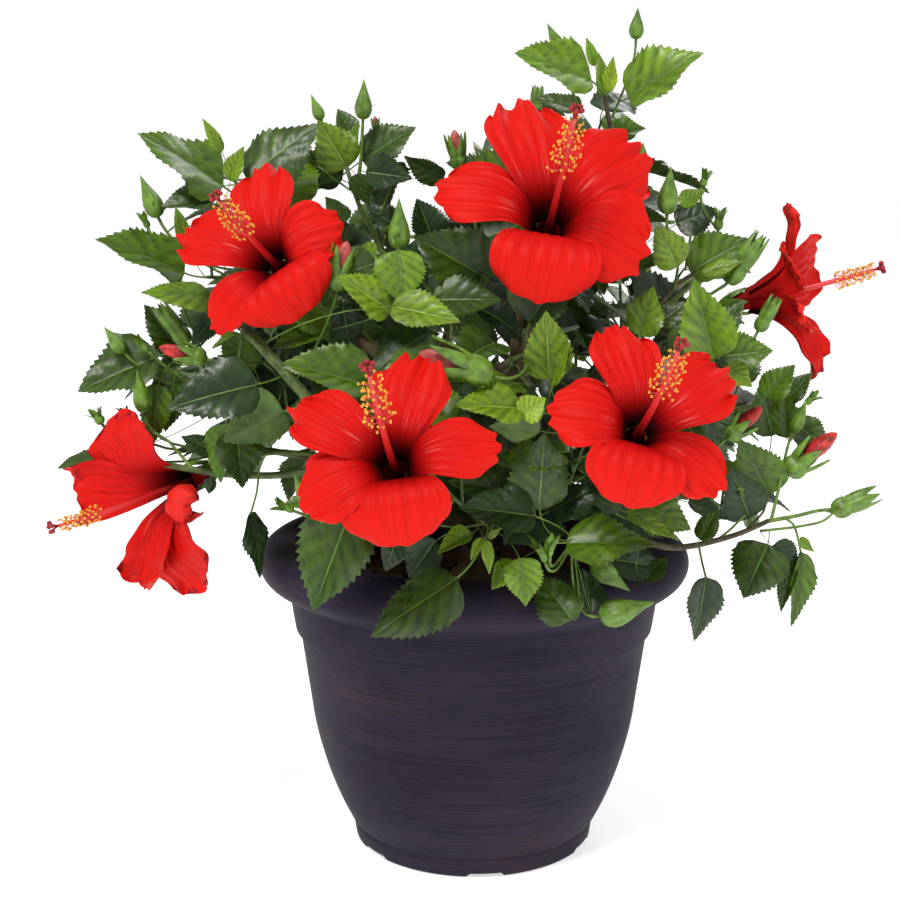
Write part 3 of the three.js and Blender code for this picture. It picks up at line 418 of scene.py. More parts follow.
# The stems that show: their pixels from foot to tip, the depth and the radius there in mm, and the finish,
# which is 0 for green wood, 1 for a green stalk and 2 for brown wood.
SEEN_STEMS = {
    "left_lateral": ([(320, 470), (289, 479), (226, 477), (196, 472), (158, 463)], -84, -50, 2.6, 2.0, 0),
    "left_lateral_stalk": ([(196, 472), (183, 458), (168, 440), (154, 432)], -60, -44, 1.0, 0.8, 1),
    "right_lateral": ([(640, 540), (670, 549), (700, 545), (740, 534), (768, 521)], -104, -62, 2.1, 1.5, 2),
    "right_lateral_end": ([(768, 521), (797, 516), (815, 511), (833, 509)], -62, -56, 1.4, 1.0, 1),
    "right_lateral_under": ([(760, 531), (797, 527), (824, 522), (834, 512)], -63, -57, 0.9, 0.8, 1),
    "right_lateral_rise": ([(771, 521), (780, 484), (786, 452), (792, 432)], -62, -44, 1.1, 0.8, 1),
    "right_lateral_twig": ([(717, 540), (730, 530), (745, 515)], -78, -72, 0.8, 0.7, 1),
    "right_lateral_leaf": ([(741, 535), (764, 512), (768, 492)], -63, -54, 0.8, 0.7, 2),
    "right_hanging_stalk": ([(699, 547), (702, 562), (706, 578)], -84, -98, 0.7, 0.7, 1),
    "right_curved_stalk": ([(783, 517), (794, 524), (798, 538), (801, 553)], -62, -62, 0.8, 0.7, 1),
    "left_hanging_stalk": ([(259, 470), (257, 492), (251, 513)], -92, -100, 0.6, 0.6, 1),
    "left_limb": ([(330, 430), (308, 404), (280, 362), (244, 328)], -104, -80, 3.6, 3.0, 0),
    "upper_stem": ([(372, 250), (362, 215), (352, 188), (346, 166)], 20, 18, 2.4, 1.4, 0),
    "upper_bud_stem": ([(356, 196), (361, 160), (363, 119)], 18, 16, 1.3, 0.9, 1),
    "upper_leaf_stem": ([(350, 190), (336, 180), (318, 166)], 20, 30, 0.7, 0.6, 1),
    "upper_thin_stalk": ([(380, 215), (388, 195), (394, 178)], 6, 8, 0.7, 0.6, 1),
    "top_stem": ([(612, 130), (608, 116), (605, 96)], 8, 4, 1.6, 1.2, 2),
    "top_bud_stalk": ([(578, 106), (571, 88), (562, 68), (560, 50)], 14, 4, 0.9, 0.7, 1),
    "top_high_bud_stalk": ([(612, 118), (626, 84), (635, 56), (636, 40)], 10, 0, 0.8, 0.7, 1),
    "right_upper_stem": ([(650, 318), (664, 298), (680, 282), (696, 272)], -50, -36, 1.8, 1.2, 2),
    "right_upper_branch": ([(674, 290), (678, 268)], -48, -60, 0.9, 0.8, 1),
    "right_bud_stalk": ([(694, 304), (708, 296), (725, 285)], -40, -38, 1.0, 0.9, 1),
    "right_open_stalk": ([(696, 276), (712, 252), (718, 230)], -34, -4, 0.7, 0.6, 1),
    "middle_brown": ([(526, 380), (532, 350), (538, 318)], -60, -60, 1.8, 1.5, 2),
}

# Round places where the photograph shows white through the crown: the middle and the radius in pixels.
OPEN_PLACES = [
    ((318, 193), 20), ((342, 170), 7), ((400, 192), 15), ((426, 188), 14), ((438, 222), 8), ((203, 338), 12),
    ((194, 412), 12), ((160, 445), 10), ((664, 264), 12), ((708, 231), 6), ((722, 288), 10), ((747, 318), 7),
    ((735, 338), 9), ((687, 489), 7), ((712, 505), 9), ((745, 460), 9), ((785, 452), 14), ((806, 480), 14),
]

# The crown's own edge in the photograph, without the single leaves and buds that stand out of it.
CROWN_EDGE = [
    (300, 540), (292, 515), (240, 500), (185, 485), (120, 430), (98, 390), (112, 345), (150, 310),
    (136, 262), (152, 205), (190, 150), (215, 126), (290, 122), (330, 100), (368, 108), (408, 132),
    (440, 158), (480, 140), (512, 98), (548, 74), (592, 48), (640, 58), (664, 84), (646, 128),
    (668, 156), (712, 172), (738, 215), (768, 246), (778, 300), (774, 345), (806, 380), (834, 420),
    (830, 455), (800, 480), (800, 520), (772, 556), (740, 566), (700, 556), (682, 572), (664, 590),
    (620, 606), (560, 606), (500, 594), (430, 588), (350, 600), (316, 588),
]


# The photograph's lines of sight

CAMERA_POINT = np.array(CAMERA["place"], float)
PITCH_COS, PITCH_SIN = math.cos(math.radians(CAMERA["pitch"])), math.sin(math.radians(CAMERA["pitch"]))


def photo_ray(pixel):
    across, up = pixel[0] - CAMERA["frame_px"] / 2, CAMERA["frame_px"] / 2 - pixel[1]
    focal = CAMERA["focal_px"]
    return np.array([across, focal * PITCH_COS + up * PITCH_SIN, up * PITCH_COS - focal * PITCH_SIN])


def photo_place(pixel, depth):
    """The point on the photograph's line of sight through a pixel that has this depth along Y."""
    return CAMERA_POINT + photo_ray(pixel) * ((depth - CAMERA_POINT[1]) / photo_ray(pixel)[1])


def photo_pixels(points):
    """Where points show in the photograph, and how far they are from the camera along its axis."""
    away = np.asarray(points) - CAMERA_POINT
    ahead = away[..., 1] * PITCH_COS - away[..., 2] * PITCH_SIN
    up = away[..., 1] * PITCH_SIN + away[..., 2] * PITCH_COS
    scale = CAMERA["focal_px"] / ahead
    middle = CAMERA["frame_px"] / 2
    return np.stack([middle + away[..., 0] * scale, middle - up * scale], -1), ahead


# Small helpers

def vec(*xyz):
    return np.array(xyz, float)


def mix(a, b, t):
    return a + (b - a) * t


def unit(v):
    return v / math.sqrt(float(v @ v))


def cross(a, b):
    return np.array([a[1] * b[2] - a[2] * b[1], a[2] * b[0] - a[0] * b[2], a[0] * b[1] - a[1] * b[0]])


def round_angles(count):
    """The angles of places that stand evenly round a circle."""
    return np.arange(count) / count * FULL_TURN


def around(direction, angle):
    reference = UP if abs(direction[2]) < 0.9 else vec(1, 0, 0)
    side = unit(cross(direction, reference))
    top = unit(cross(side, direction))
    return side * math.cos(angle) + top * math.sin(angle)


def points_along(line, start, end, count):
    return np.array([line.point(t) for t in np.linspace(start, end, count)])


def bowed(start, bend, end, t):
    """A point of the curve that leaves its start towards the bend and comes to its end from there."""
    return start * (1 - t) ** 2 + bend * (2 * t * (1 - t)) + end * (t * t)


class Draws:
    """Seeded random numbers from 0 to 1, the same ones as the solids use."""

    def __init__(self, seed):
        self.state = seed

    def __call__(self):
        self.state = (self.state * 1664525 + 1013904223) & 0xFFFFFFFF
        return self.state / 4294967296

    def between(self, low, high):
        return mix(low, high, self())

    def angle(self):
        return self() * FULL_TURN


class Line:
    """A cubic curve with a radius along it."""

    def __init__(self, start, leave, arrive, end, radius):
        self.points = [start, start + leave, end - arrive, end]
        self.radius = radius
        self.length = math.dist(start, end)

    def point(self, t):
        a, b, c, d = self.points
        s = 1 - t
        return a * s**3 + b * (3 * s * s * t) + c * (3 * s * t * t) + d * t**3

    def tangent(self, t):
        a, b, c, d = self.points
        s = 1 - t
        return unit((b - a) * (s * s) + (c - b) * (2 * s * t) + (d - c) * (t * t))


class Part:
    """A stretch of a line, from start to its end, as a line of its own."""

    def __init__(self, line, start):
        self.line, self.start = line, start
        self.length = line.length * (1 - start)

    def point(self, t):
        return self.line.point(mix(self.start, 1, t))

    def tangent(self, t):
        return self.line.tangent(mix(self.start, 1, t))

    def radius(self, t):
        return self.line.radius(mix(self.start, 1, t))


class Bent:
    """A shoot of two straight halves, which lifts at its middle."""

    def __init__(self, root, leave, arrive, length, thick, thin):
        self.root, self.leave, self.arrive, self.length = root, leave, arrive, length
        self.bend = root + leave * (length * 0.5)
        self.radius = lambda t: mix(thick, thin, t)

    def point(self, t):
        if t < 0.5:
            return mix(self.root, self.bend, t * 2)
        return self.bend + self.arrive * (self.length * (t - 0.5))

    def tangent(self, t):
        return self.leave if t < 0.5 else self.arrive


# Meshes

class Shape:
    """Collects points and four-sided faces, with a finish for each face, and makes one mesh of them."""

    def __init__(self, *fields):
        self.points, self.faces, self.finishes, self.count = [], [], [], 0
        self.fields = {field: [] for field in fields}

    def add(self, points, faces, finish=0, **fields):
        points = np.asarray(points, float).reshape(-1, 3)
        faces = np.asarray(faces, int)
        self.points.append(points)
        self.faces.append(faces + self.count)
        self.finishes.append(np.broadcast_to(finish, len(faces)))
        for field, values in self.fields.items():
            values.append(np.broadcast_to(fields.get(field, 0.0), len(points)))
        self.count += len(points)

    def build(self, name, materials, rounded=True):
        points = np.concatenate(self.points) * MM
        faces = np.concatenate(self.faces)
        mesh = bpy.data.meshes.new(name)
        mesh.vertices.add(len(points))
        mesh.vertices.foreach_set("co", points.ravel())
        mesh.loops.add(faces.size)
        mesh.loops.foreach_set("vertex_index", faces.ravel())
        mesh.polygons.add(len(faces))
        mesh.polygons.foreach_set("loop_start", np.arange(len(faces)) * 4)
        mesh.polygons.foreach_set("material_index", np.concatenate(self.finishes).astype(np.int32))
        mesh.polygons.foreach_set("use_smooth", np.full(len(faces), rounded))
        for field, values in self.fields.items():
            layer = mesh.attributes.new(field, "FLOAT", "POINT")
            layer.data.foreach_set("value", np.concatenate(values).astype(np.float32))
        mesh.update(calc_edges=True)
        piece = bpy.data.objects.new(name, mesh)
        bpy.context.scene.collection.objects.link(piece)
        for material in materials:
            mesh.materials.append(material)
        return piece


def grid_faces(rows, lanes, closed=False):
    """The four-sided faces of a grid of points, closed across its lanes for a tube."""
    i, j = np.meshgrid(np.arange(rows - 1), np.arange(lanes if closed else lanes - 1), indexing="ij")
    a = i * lanes + j
    b = i * lanes + (j + 1) % lanes
    return np.stack([a, b, b + lanes, a + lanes], -1).reshape(-1, 4)


def sweep(points, radii, sides, relief=None):
    """The rings of a tube along points that doesn't twist, as an array of rings by sides by three."""
    points = np.asarray(points)
    tangents = np.gradient(points, axis=0)
    tangents /= np.linalg.norm(tangents, axis=1)[:, None]
    angles = round_angles(sides)
    side = around(tangents[0], 0)
    rings = []
    for i, (point, tangent) in enumerate(zip(points, tangents)):
        side = unit(side - tangent * (side @ tangent))
        top = cross(side, tangent)
        radius = radii[i] * (1 if relief is None else relief(i / (len(points) - 1), angles))
        spokes = side * np.cos(angles)[:, None] + top * np.sin(angles)[:, None]
        rings.append(point + spokes * np.broadcast_to(radius, sides)[:, None])
    return np.array(rings)


def add_tube(shape, points, radii, sides, finish=0, relief=None, **fields):
    rings = sweep(points, radii, sides, relief)
    ends = [np.repeat(rings[k].mean(0)[None], sides, 0) for k in (0, -1)]
    closed = np.concatenate([ends[0][None], rings, ends[1][None]])
    shape.add(closed, grid_faces(len(closed), sides, closed=True)[:, ::-1], finish, **fields)


def add_sheet(shape, points, thickness, finish, under, **fields):
    """A thin blade from a grid of points: its face, and its back, which meets the face along the rim."""
    rows, lanes = points.shape[:2]
    along = np.gradient(points, axis=0)
    wide = np.gradient(points, axis=1)
    normals = np.cross(along, wide)
    normals /= np.linalg.norm(normals, axis=2)[..., None] + TINY
    depth = np.zeros((rows, lanes, 1))
    depth[1:-1, 1:-1] = thickness
    faces = grid_faces(rows, lanes)
    shape.add(points, faces[:, [0, 3, 2, 1]], finish, **fields)
    shape.add(points - normals * depth, faces, under, **fields)


def blob(rings, sides):
    """The points of a ball of radius 1 and its faces."""
    pole = 0.001
    polar = np.linspace(pole, np.pi - pole, rings)
    turn = round_angles(sides)
    ball = np.stack([
        np.outer(np.sin(polar), np.cos(turn)),
        np.outer(np.sin(polar), np.sin(turn)),
        np.outer(np.cos(polar), np.ones(sides)),
    ], -1)
    return ball.reshape(-1, 3), grid_faces(rings, sides, closed=True)[:, ::-1]


# Materials

def new_material(name, color, roughness, specular=0.5, coat=0.0):
    material = bpy.data.materials.new(name)
    material.use_nodes = True
    shader = material.node_tree.nodes["Principled BSDF"]
    shader.inputs["Base Color"].default_value = (*color, 1)
    shader.inputs["Roughness"].default_value = roughness
    shader.inputs["Specular IOR Level"].default_value = specular
    shader.inputs["Coat Weight"].default_value = coat
    shader.inputs["Coat Roughness"].default_value = 0.2
    return material, material.node_tree, shader


def node(tree, kind, **values):
    made = tree.nodes.new(kind)
    for key, value in values.items():
        if hasattr(made, key):
            setattr(made, key, value)
        else:
            made.inputs[key.replace("_", " ")].default_value = value
    return made


def noise(tree, scale, detail=3.0, stretch=(1, 1, 1)):
    """Noise that stays with the object, in cycles per metre, drawn out along the axes by stretch."""
    place = node(tree, "ShaderNodeTexCoord")
    spread = node(tree, "ShaderNodeMapping")
    spread.inputs["Scale"].default_value = stretch
    tree.links.new(place.outputs["Object"], spread.inputs["Vector"])
    grain = node(tree, "ShaderNodeTexNoise", Scale=scale, Detail=detail)
    tree.links.new(spread.outputs["Vector"], grain.inputs["Vector"])
    return grain.outputs["Fac"]


def ramp(tree, factor, stops):
    made = node(tree, "ShaderNodeValToRGB")
    elements = made.color_ramp.elements
    while len(elements) < len(stops):
        elements.new(0.5)
    for element, (place, color) in zip(elements, stops):
        element.position = place
        element.color = (*color, 1)
    tree.links.new(factor, made.inputs["Fac"])
    return made.outputs["Color"]


def attribute(tree, name):
    return node(tree, "ShaderNodeAttribute", attribute_name=name).outputs["Fac"]


def mask(tree, factor, *stops):
    """A grey that goes from one share to the next as the factor passes the stops."""
    return ramp(tree, factor, [(place, (value, value, value)) for place, value in stops])


def product(tree, first, *others):
    for other in others:
        made = node(tree, "ShaderNodeMath", operation="MULTIPLY")
        tree.links.new(first, made.inputs[0])
        tree.links.new(other, made.inputs[1])
        first = made.outputs["Value"]
    return first


def blended(tree, share, under, color, kind="MIX"):
    """A colour over another by a share. Each of them is a socket, or a value for one."""
    made = node(tree, "ShaderNodeMix", data_type="RGBA", blend_type=kind)
    for slot, value in (("Factor", share), ("A", under), ("B", color)):
        if isinstance(value, bpy.types.NodeSocket):
            tree.links.new(value, made.inputs[slot])
        else:
            made.inputs[slot].default_value = value
    return made.outputs["Result"]


def paint(tree, color, shader):
    tree.links.new(color, shader.inputs["Base Color"])


def bump(tree, shader, height, strength, distance):
    made = node(tree, "ShaderNodeBump", Strength=strength, Distance=distance)
    tree.links.new(height, made.inputs["Height"])
    tree.links.new(made.outputs["Normal"], shader.inputs["Normal"])


def tinted(color, amount):
    return tuple(min(1.0, channel * amount) for channel in color)


def grained_material(name, color, looks, grain, stops, relief):
    """A material that takes its colours from a grain, and its relief from the same grain."""
    material, tree, shader = new_material(name, color, *looks)
    grains = noise(tree, *grain)
    paint(tree, ramp(tree, grains, stops), shader)
    bump(tree, shader, grains, *relief)
    return material


def plain_material(name, color, roughness, light=1.25, dark=0.75, scale=300, grain=0.2, specular=0.5):
    """A colour with a fine grain in it."""
    stops = [(0.3, tinted(color, dark)), (0.7, tinted(color, light))]
    return grained_material(name, color, (roughness, specular), (scale, 3), stops, (grain, 0.0005))


def bark_material():
    color = (0.115, 0.078, 0.045)
    return grained_material("bark", color, (0.85, 0.2), (160, 5, (1, 1, 0.35)), [
        (0.3, (0.040, 0.026, 0.016)), (0.5, color), (0.62, (0.17, 0.13, 0.08)), (0.75, (0.10, 0.12, 0.045)),
    ], (0.6, 0.001))


def soil_material():
    color = (0.030, 0.017, 0.011)
    return grained_material("potting_mix", color, (0.95, 0.2), (260, 6), [
        (0.3, (0.008, 0.005, 0.004)), (0.5, color), (0.68, (0.085, 0.040, 0.022)), (0.8, (0.16, 0.10, 0.07)),
    ], (0.9, 0.002))


def pot_material():
    """Dark purple-grey plastic with fine brown brushing round it."""
    body = (0.029, 0.0225, 0.043)
    material, tree, shader = new_material("pot_plastic", body, 0.58, 0.06)
    streaks = noise(tree, 7, 8, (2.4, 2.4, 190.0))
    patches = noise(tree, 9, 4, (1.0, 1.0, 1.8))
    paint(tree, ramp(tree, product(tree, streaks, patches), [
        (0.17, (0.018, 0.013, 0.027)), (0.29, body), (0.36, (0.034, 0.024, 0.031)),
        (0.46, (0.066, 0.043, 0.040)),
    ]), shader)
    bump(tree, shader, streaks, 0.06, 0.0006)
    return material


def leaf_material(name, color, roughness, coat):
    """Mottled green, with painted shade in the grooves along the side veins and a painted paler sheen on the
    puffs between them.
    """
    material, tree, shader = new_material(name, color, roughness, 0.4, coat)
    mottle = noise(tree, 60, 2)
    mottled = ramp(tree, mottle, [(0.3, tinted(color, 0.72)), (0.55, color), (0.75, tinted(color, 1.3))])
    # Painted shade darkens the grooves along the side veins and a painted sheen lightens the puffs between
    # them, by how far each point stands out of the grooves.
    painted_relief_light = ramp(tree, attribute(tree, "groove"), [
        (0.0, (0.46, 0.52, 0.7)), (0.45, (0.86, 0.88, 0.9)), (0.95, (1.42, 1.32, 1.2)),
    ])
    paint(tree, blended(tree, 1.0, mottled, painted_relief_light, "MULTIPLY"), shader)
    bump(tree, shader, noise(tree, 420, 2), 0.25, 0.0006)
    return material


def petal_texture(tree, place, scale, detail):
    """Noise drawn out along a petal, for what runs from its throat to its rim."""
    texture = node(tree, "ShaderNodeTexNoise", Scale=scale, Detail=detail)
    tree.links.new(place, texture.inputs["Vector"])
    return texture.outputs["Fac"]


def petal_place(tree, reach):
    drawn = node(tree, "ShaderNodeCombineXYZ")
    tree.links.new(attribute(tree, "lane"), drawn.inputs["X"])
    tree.links.new(reach, drawn.inputs["Y"])
    spread = node(tree, "ShaderNodeMapping")
    spread.inputs["Scale"].default_value = (9, 0.8, 1)
    tree.links.new(drawn.outputs["Vector"], spread.inputs["Vector"])
    return spread.outputs["Vector"]


def petal_material(name, stops):
    """Red from throat to rim by the stops, with darker veins, painted highlights as pale pink streaks in a
    band out from the throat, and stains where it wilts.
    """
    highlight_pink, stain = (0.80, 0.20, 0.18, 1), (0.030, 0.004, 0.012, 1)
    material, tree, shader = new_material(name, stops[-1][1], 0.52, 0.1)
    reach = attribute(tree, "reach")
    place = petal_place(tree, reach)
    veins = petal_texture(tree, place, 1.6, 4.0)
    # The pale pink streaks in a band out from the throat are a painted highlight, laid on each petal by its
    # share of it.
    highlight_noise = petal_texture(tree, place, 1.3, 3.0)
    shade = ramp(tree, veins, [(0.36, (0.74, 0.60, 0.60)), (0.5, (1, 1, 1))])
    veined = blended(tree, 0.55, ramp(tree, reach, stops), shade, "MULTIPLY")
    highlight_streaks = mask(tree, highlight_noise, (0.58, 0), (0.72, 1))
    highlight_band = mask(tree, reach, (0.20, 0), (0.27, 0.6), (0.34, 0.5), (0.46, 0))
    highlighted_red = blended(tree, product(tree, highlight_streaks, highlight_band, attribute(tree, "shine")), veined, highlight_pink)
    flecks = mask(tree, noise(tree, 210, 4), (0.50, 0), (0.60, 1))
    edge = mask(tree, attribute(tree, "rim"), (0.3, 0.10), (0.8, 1))
    stained = product(tree, flecks, edge, attribute(tree, "wilt"))
    paint(tree, blended(tree, stained, highlighted_red, stain), shader)
    bump(tree, shader, veins, 0.3, 0.001)
    return material


def column_material():
    material, tree, shader = new_material("column", (0.7, 0.02, 0.02), 0.4, 0.5)
    paint(tree, ramp(tree, attribute(tree, "reach"), [
        (0.0, (0.10, 0.002, 0.004)), (0.3, (0.50, 0.008, 0.010)), (0.6, (0.70, 0.032, 0.030)),
        (1.0, (0.74, 0.10, 0.09)),
    ]), shader)
    return material


# The petals' reds from the throat to the rim, on their inside and their outside.
INNER_PETAL = [
    (0.0, (0.005, 0.0002, 0.0005)), (0.025, (0.010, 0.0003, 0.001)), (0.07, (0.075, 0.001, 0.002)),
    (0.12, (0.24, 0.0015, 0.002)), (0.20, (0.44, 0.003, 0.003)), (0.34, (0.59, 0.006, 0.004)),
    (1.0, (0.65, 0.010, 0.005)),
]
OUTER_PETAL = [
    (0.0, (0.26, 0.002, 0.004)), (0.25, (0.56, 0.007, 0.008)),
    (0.6, (0.70, 0.018, 0.012)), (1.0, (0.74, 0.026, 0.016)),
]

# Leaf finishes, from the darkest to the youngest, then the backs of old and young leaves, and their veins.
LEAF_SHADES = [
    ("leaf_deep", (0.014, 0.038, 0.007), 0.38, 0.03),
    ("leaf_dark", (0.032, 0.072, 0.006), 0.39, 0.03),
    ("leaf_green", (0.062, 0.132, 0.006), 0.39, 0.03),
    ("leaf_fresh", (0.105, 0.205, 0.007), 0.38, 0.04),
    ("leaf_lime", (0.118, 0.212, 0.006), 0.42, 0.02),
    ("leaf_young", (0.215, 0.340, 0.014), 0.48, 0.0),
]
YOUNG_SHADE = 4
UNDER_OLD, UNDER_YOUNG, VEIN_OLD, VEIN_YOUNG = range(len(LEAF_SHADES), len(LEAF_SHADES) + 4)

leaf_finishes = [leaf_material(*shade) for shade in LEAF_SHADES] + [
    plain_material("leaf_back", (0.068, 0.130, 0.022), 0.55, scale=160),
    plain_material("leaf_back_young", (0.16, 0.28, 0.03), 0.55, scale=160),
    plain_material("vein", (0.090, 0.190, 0.020), 0.42, scale=160),
    plain_material("vein_young", (0.26, 0.39, 0.045), 0.45, scale=160),
]
bark = bark_material()
green_wood = plain_material("green_twig", (0.066, 0.105, 0.016), 0.5, 1.6, 0.55, 200)
stalk_green = plain_material("leaf_stalk", (0.105, 0.185, 0.020), 0.5, 1.4, 0.6, 200)
petal_inner = petal_material("petal", INNER_PETAL)
petal_outer = petal_material("petal_outside", OUTER_PETAL)
throat_dark = plain_material("throat", (0.012, 0.0004, 0.0008), 0.9, specular=0.0)
column_red = column_material()
anther_yellow = plain_material("anther", (0.86, 0.42, 0.03), 0.6, 1.1, 0.7, 900)
stigma_red = plain_material("stigma", (0.30, 0.006, 0.012), 0.6, 1.4, 0.6, 900)
calyx_green = plain_material("calyx", (0.100, 0.200, 0.016), 0.42, 1.5, 0.55, 200)
bud_pink = plain_material("bud_petal_pink", (0.42, 0.065, 0.055), 0.5, 1.35, 0.6, 400)
bud_red = plain_material("bud_petal_red", (0.56, 0.020, 0.020), 0.5, 1.25, 0.25, 300)
brown_wood = plain_material("brown_twig", (0.050, 0.040, 0.016), 0.7, 1.9, 0.45, 220)
pot_plastic = pot_material()
potting_mix = soil_material()


# Growth, by the solids' rule

def limb_line(start, carrier, lead, arch, root_radius):
    reach = lead - start
    length = math.sqrt(reach @ reach)
    straight = reach / length
    leave = unit(straight + carrier * BOUGH["follow"] + UP * arch)
    arrive = unit(straight + UP * (0.25 - 0.6 * arch))
    handle = length * BOUGH["handle"]

    def radius(t):
        if t < BOUGH["split"]:
            return mix(root_radius, BOUGH["tip"], t / BOUGH["split"])
        return mix(BOUGH["tip"], BOUGH["end"], (t - BOUGH["split"]) / (1 - BOUGH["split"]))

    return Line(start, leave * handle, arrive * handle, lead, radius)


class Trunk:
    foot = SOIL["top"] + GAP
    length = TRUNK["height"]

    def point(self, t):
        return vec(TRUNK["lean"][0] * t, TRUNK["lean"][1] * t, self.foot + TRUNK["height"] * t)

    def tangent(self, t):
        return unit(vec(*TRUNK["lean"], TRUNK["height"]))

    def radius(self, t):
        flare = max(0, 1 - t * TRUNK["height"] / TRUNK["flare_height"])
        return mix(TRUNK["waist"], TRUNK["fork"], t) + (TRUNK["flare"] - TRUNK["waist"]) * flare * flare


lines = {"trunk": Trunk()}
for name, (carrier, at, lead, arch, *_) in LIMBS.items():
    t = at if carrier == "trunk" else at * BOUGH["split"]
    root_radius = BOUGH["root"] if carrier == "trunk" else BOUGH["side_root"]
    start, leave = lines[carrier].point(t), lines[carrier].tangent(t)
    lines[name] = limb_line(start, leave, vec(*lead), arch, root_radius)


MOST_BALLS = 120000
WOOD_STEP = 7


class Taken:
    """What is already there, as balls that belong to a node. Nothing else may grow into them."""

    def __init__(self):
        self.points = np.zeros((MOST_BALLS, 3))
        self.radii = np.zeros(MOST_BALLS)
        self.owners = np.zeros(MOST_BALLS, int)
        self.names = {}
        self.count = 0

    def number(self, owner):
        return self.names.setdefault(owner, len(self.names))

    def take(self, owner, points, radii):
        points = np.asarray(points).reshape(-1, 3)
        end = self.count + len(points)
        self.points[self.count:end] = points
        self.radii[self.count:end] = radii
        self.owners[self.count:end] = self.number(owner)
        self.count = end

    def touches(self, owner, points, radii):
        centre = points.mean(0)
        span = np.sqrt(((points - centre) ** 2).sum(1)).max() + radii.max() + ROOM["apart"]
        there = self.points[:self.count]
        limit = span + self.radii[:self.count]
        near = ((there - centre) ** 2).sum(1) < limit * limit
        near &= self.owners[:self.count] != self.number(owner)
        others = there[near]
        if not len(others):
            return False
        apart = np.sqrt(((points[:, None] - others[None]) ** 2).sum(2))
        return bool((apart <= radii[:, None] + self.radii[:self.count][near] + ROOM["apart"]).any())


taken = Taken()


def pot_stands(points, radii):
    out = np.hypot(points[:, 0], points[:, 1])
    height = points[:, 2]
    within = out < POT["rim_radius"] + radii
    low = within | (height < radii + ROOM["floor"])
    rim = within & (out > POT["opening"] - radii)
    stands = np.where(height < SOIL["top"] + radii, low, rim)
    return bool((stands & (height - radii <= POT["height"])).any())


def is_free(owner, points, radii):
    points = np.asarray(points)
    radii = np.broadcast_to(np.asarray(radii, float), len(points))
    if ((((points - REACH["centre"]) / REACH["half"]) ** 2).sum(1) >= 1).any():
        return False
    return not pot_stands(points, radii) and not taken.touches(owner, points, radii)


def wood_balls(line, start, end, extra):
    count = max(2, math.ceil(line.length * (end - start) / WOOD_STEP))
    places = [mix(start, end, i / count) for i in range(count + 1)]
    return np.array([line.point(t) for t in places]), np.array([line.radius(t) + extra for t in places])


for name in LIMBS:
    taken.take("bough_" + name, *wood_balls(lines[name], 0, BOUGH["split"], ROOM["wood"]))


# The frame and the surfaces of a bloom

def bloom_frame(bloom):
    turn, rise = math.radians(bloom["turn"]), math.radians(bloom["rise"])
    axis = vec(math.sin(turn) * math.cos(rise), -math.cos(turn) * math.cos(rise), math.sin(rise))
    right = vec(math.cos(turn), math.sin(turn), 0)
    return vec(*bloom["throat"]), right, -cross(right, axis), axis


def petal_room(bloom, s, v):
    """A petal's surface as the solids have it: how far out, to the side and forward a point of it is."""
    radius = bloom["radius"]
    width = 0.46 * radius * np.sin(np.pi * (0.02 + 0.82 * s**1.4)) ** 0.75
    out = radius * (0.1 + 0.9 * s - 0.16 * s**3 * v * v)
    rise = -0.45 * (1 - s) ** 3 + 0.1 * np.sin(np.pi * s) + (bloom["cup"] - 0.1) * s * s
    return out, v * width, radius * rise + 0.16 * v * width


def on_bloom(bloom, angle, out, side, height):
    throat, right, top, axis = bloom_frame(bloom)
    c, s = math.cos(angle), math.sin(angle)
    across = np.multiply.outer(out * c - side * s, right)
    return throat + across + np.multiply.outer(out * s + side * c, top) + np.multiply.outer(height, axis)


def column_point(bloom, t):
    throat, _, top, axis = bloom_frame(bloom)
    bend = math.radians(bloom["bend"]) * t
    length = bloom["radius"] * (bloom["column"] + COLUMN_DEPTH) * t
    forward = length * math.cos(bend) - COLUMN_DEPTH * bloom["radius"]
    return throat + axis * forward + top * (length * math.sin(bend))


def bloom_stalk(bloom):
    throat, _, _, axis = bloom_frame(bloom)
    start = lines[bloom["carrier"]].point(bloom["at"] * BOUGH["split"])
    base = throat - axis * (0.78 * bloom["radius"])
    reach = math.dist(base, start)
    leave = unit(unit(base - start) + UP * 0.35)
    line = Line(start, leave * (reach * 0.4), axis * (reach * 0.34), base, lambda t: mix(1.9, 1.5, t))
    line.length = reach
    return line


def take_bloom(name, bloom):
    taken.take(name, *wood_balls(lines[name], 0.05, 1, ROOM["bloom_stalk"]))
    for petal in range(PETALS):
        angle = math.radians(bloom["roll"]) + petal * FULL_TURN / PETALS
        for s in (0.1, 0.3, 0.5, 0.7, 0.88, 1):
            for v in (-0.95, -0.5, 0, 0.5, 0.95):
                taken.take(name, on_bloom(bloom, angle, *petal_room(bloom, s, v)), ROOM["petal"])
    for i in range(11):
        taken.take(name, column_point(bloom, i / 10), ROOM["anthers"] if i > 4 else ROOM["column"])
    throat, _, _, axis = bloom_frame(bloom)
    taken.take(name, throat - axis * (0.6 * bloom["radius"]), 0.16 * bloom["radius"])


for name, bloom in BLOOMS.items():
    lines[name] = bloom_stalk(bloom)
    take_bloom(name, bloom)


# Leaves

def blade_width(u):
    return u**0.55 * (1 - u) ** 0.9 / 0.382


def leaf_points(leaf, u, v):
    half = leaf["length"] * LEAF["width"] * blade_width(u)
    rise = LEAF["fold"] * np.abs(v) * half - leaf["curl"] * leaf["length"] * u * u
    return (leaf["base"] + np.multiply.outer(leaf["length"] * u, leaf["ahead"])
            + np.multiply.outer(v * half, leaf["side"]) + np.multiply.outer(rise, leaf["normal"]))


# Places on a blade, along it and across it, and along its stalk, that stand for a leaf where room is checked.
MIDDLE = 0.42
BLADE_U = np.array([0.05, 0.22, 0.42, 0.64, 0.84, 0.98, 0.22, 0.22, 0.42, 0.42, 0.64, 0.64, MIDDLE, MIDDLE])
BLADE_V = np.array([0, 0, 0, 0, 0, 0, -0.85, 0.85, -0.85, 0.85, -0.85, 0.85, -0.45, 0.45])
STALK_PLACES = (0.35, 0.6, 0.85)
STALK_ROOM = 2.0


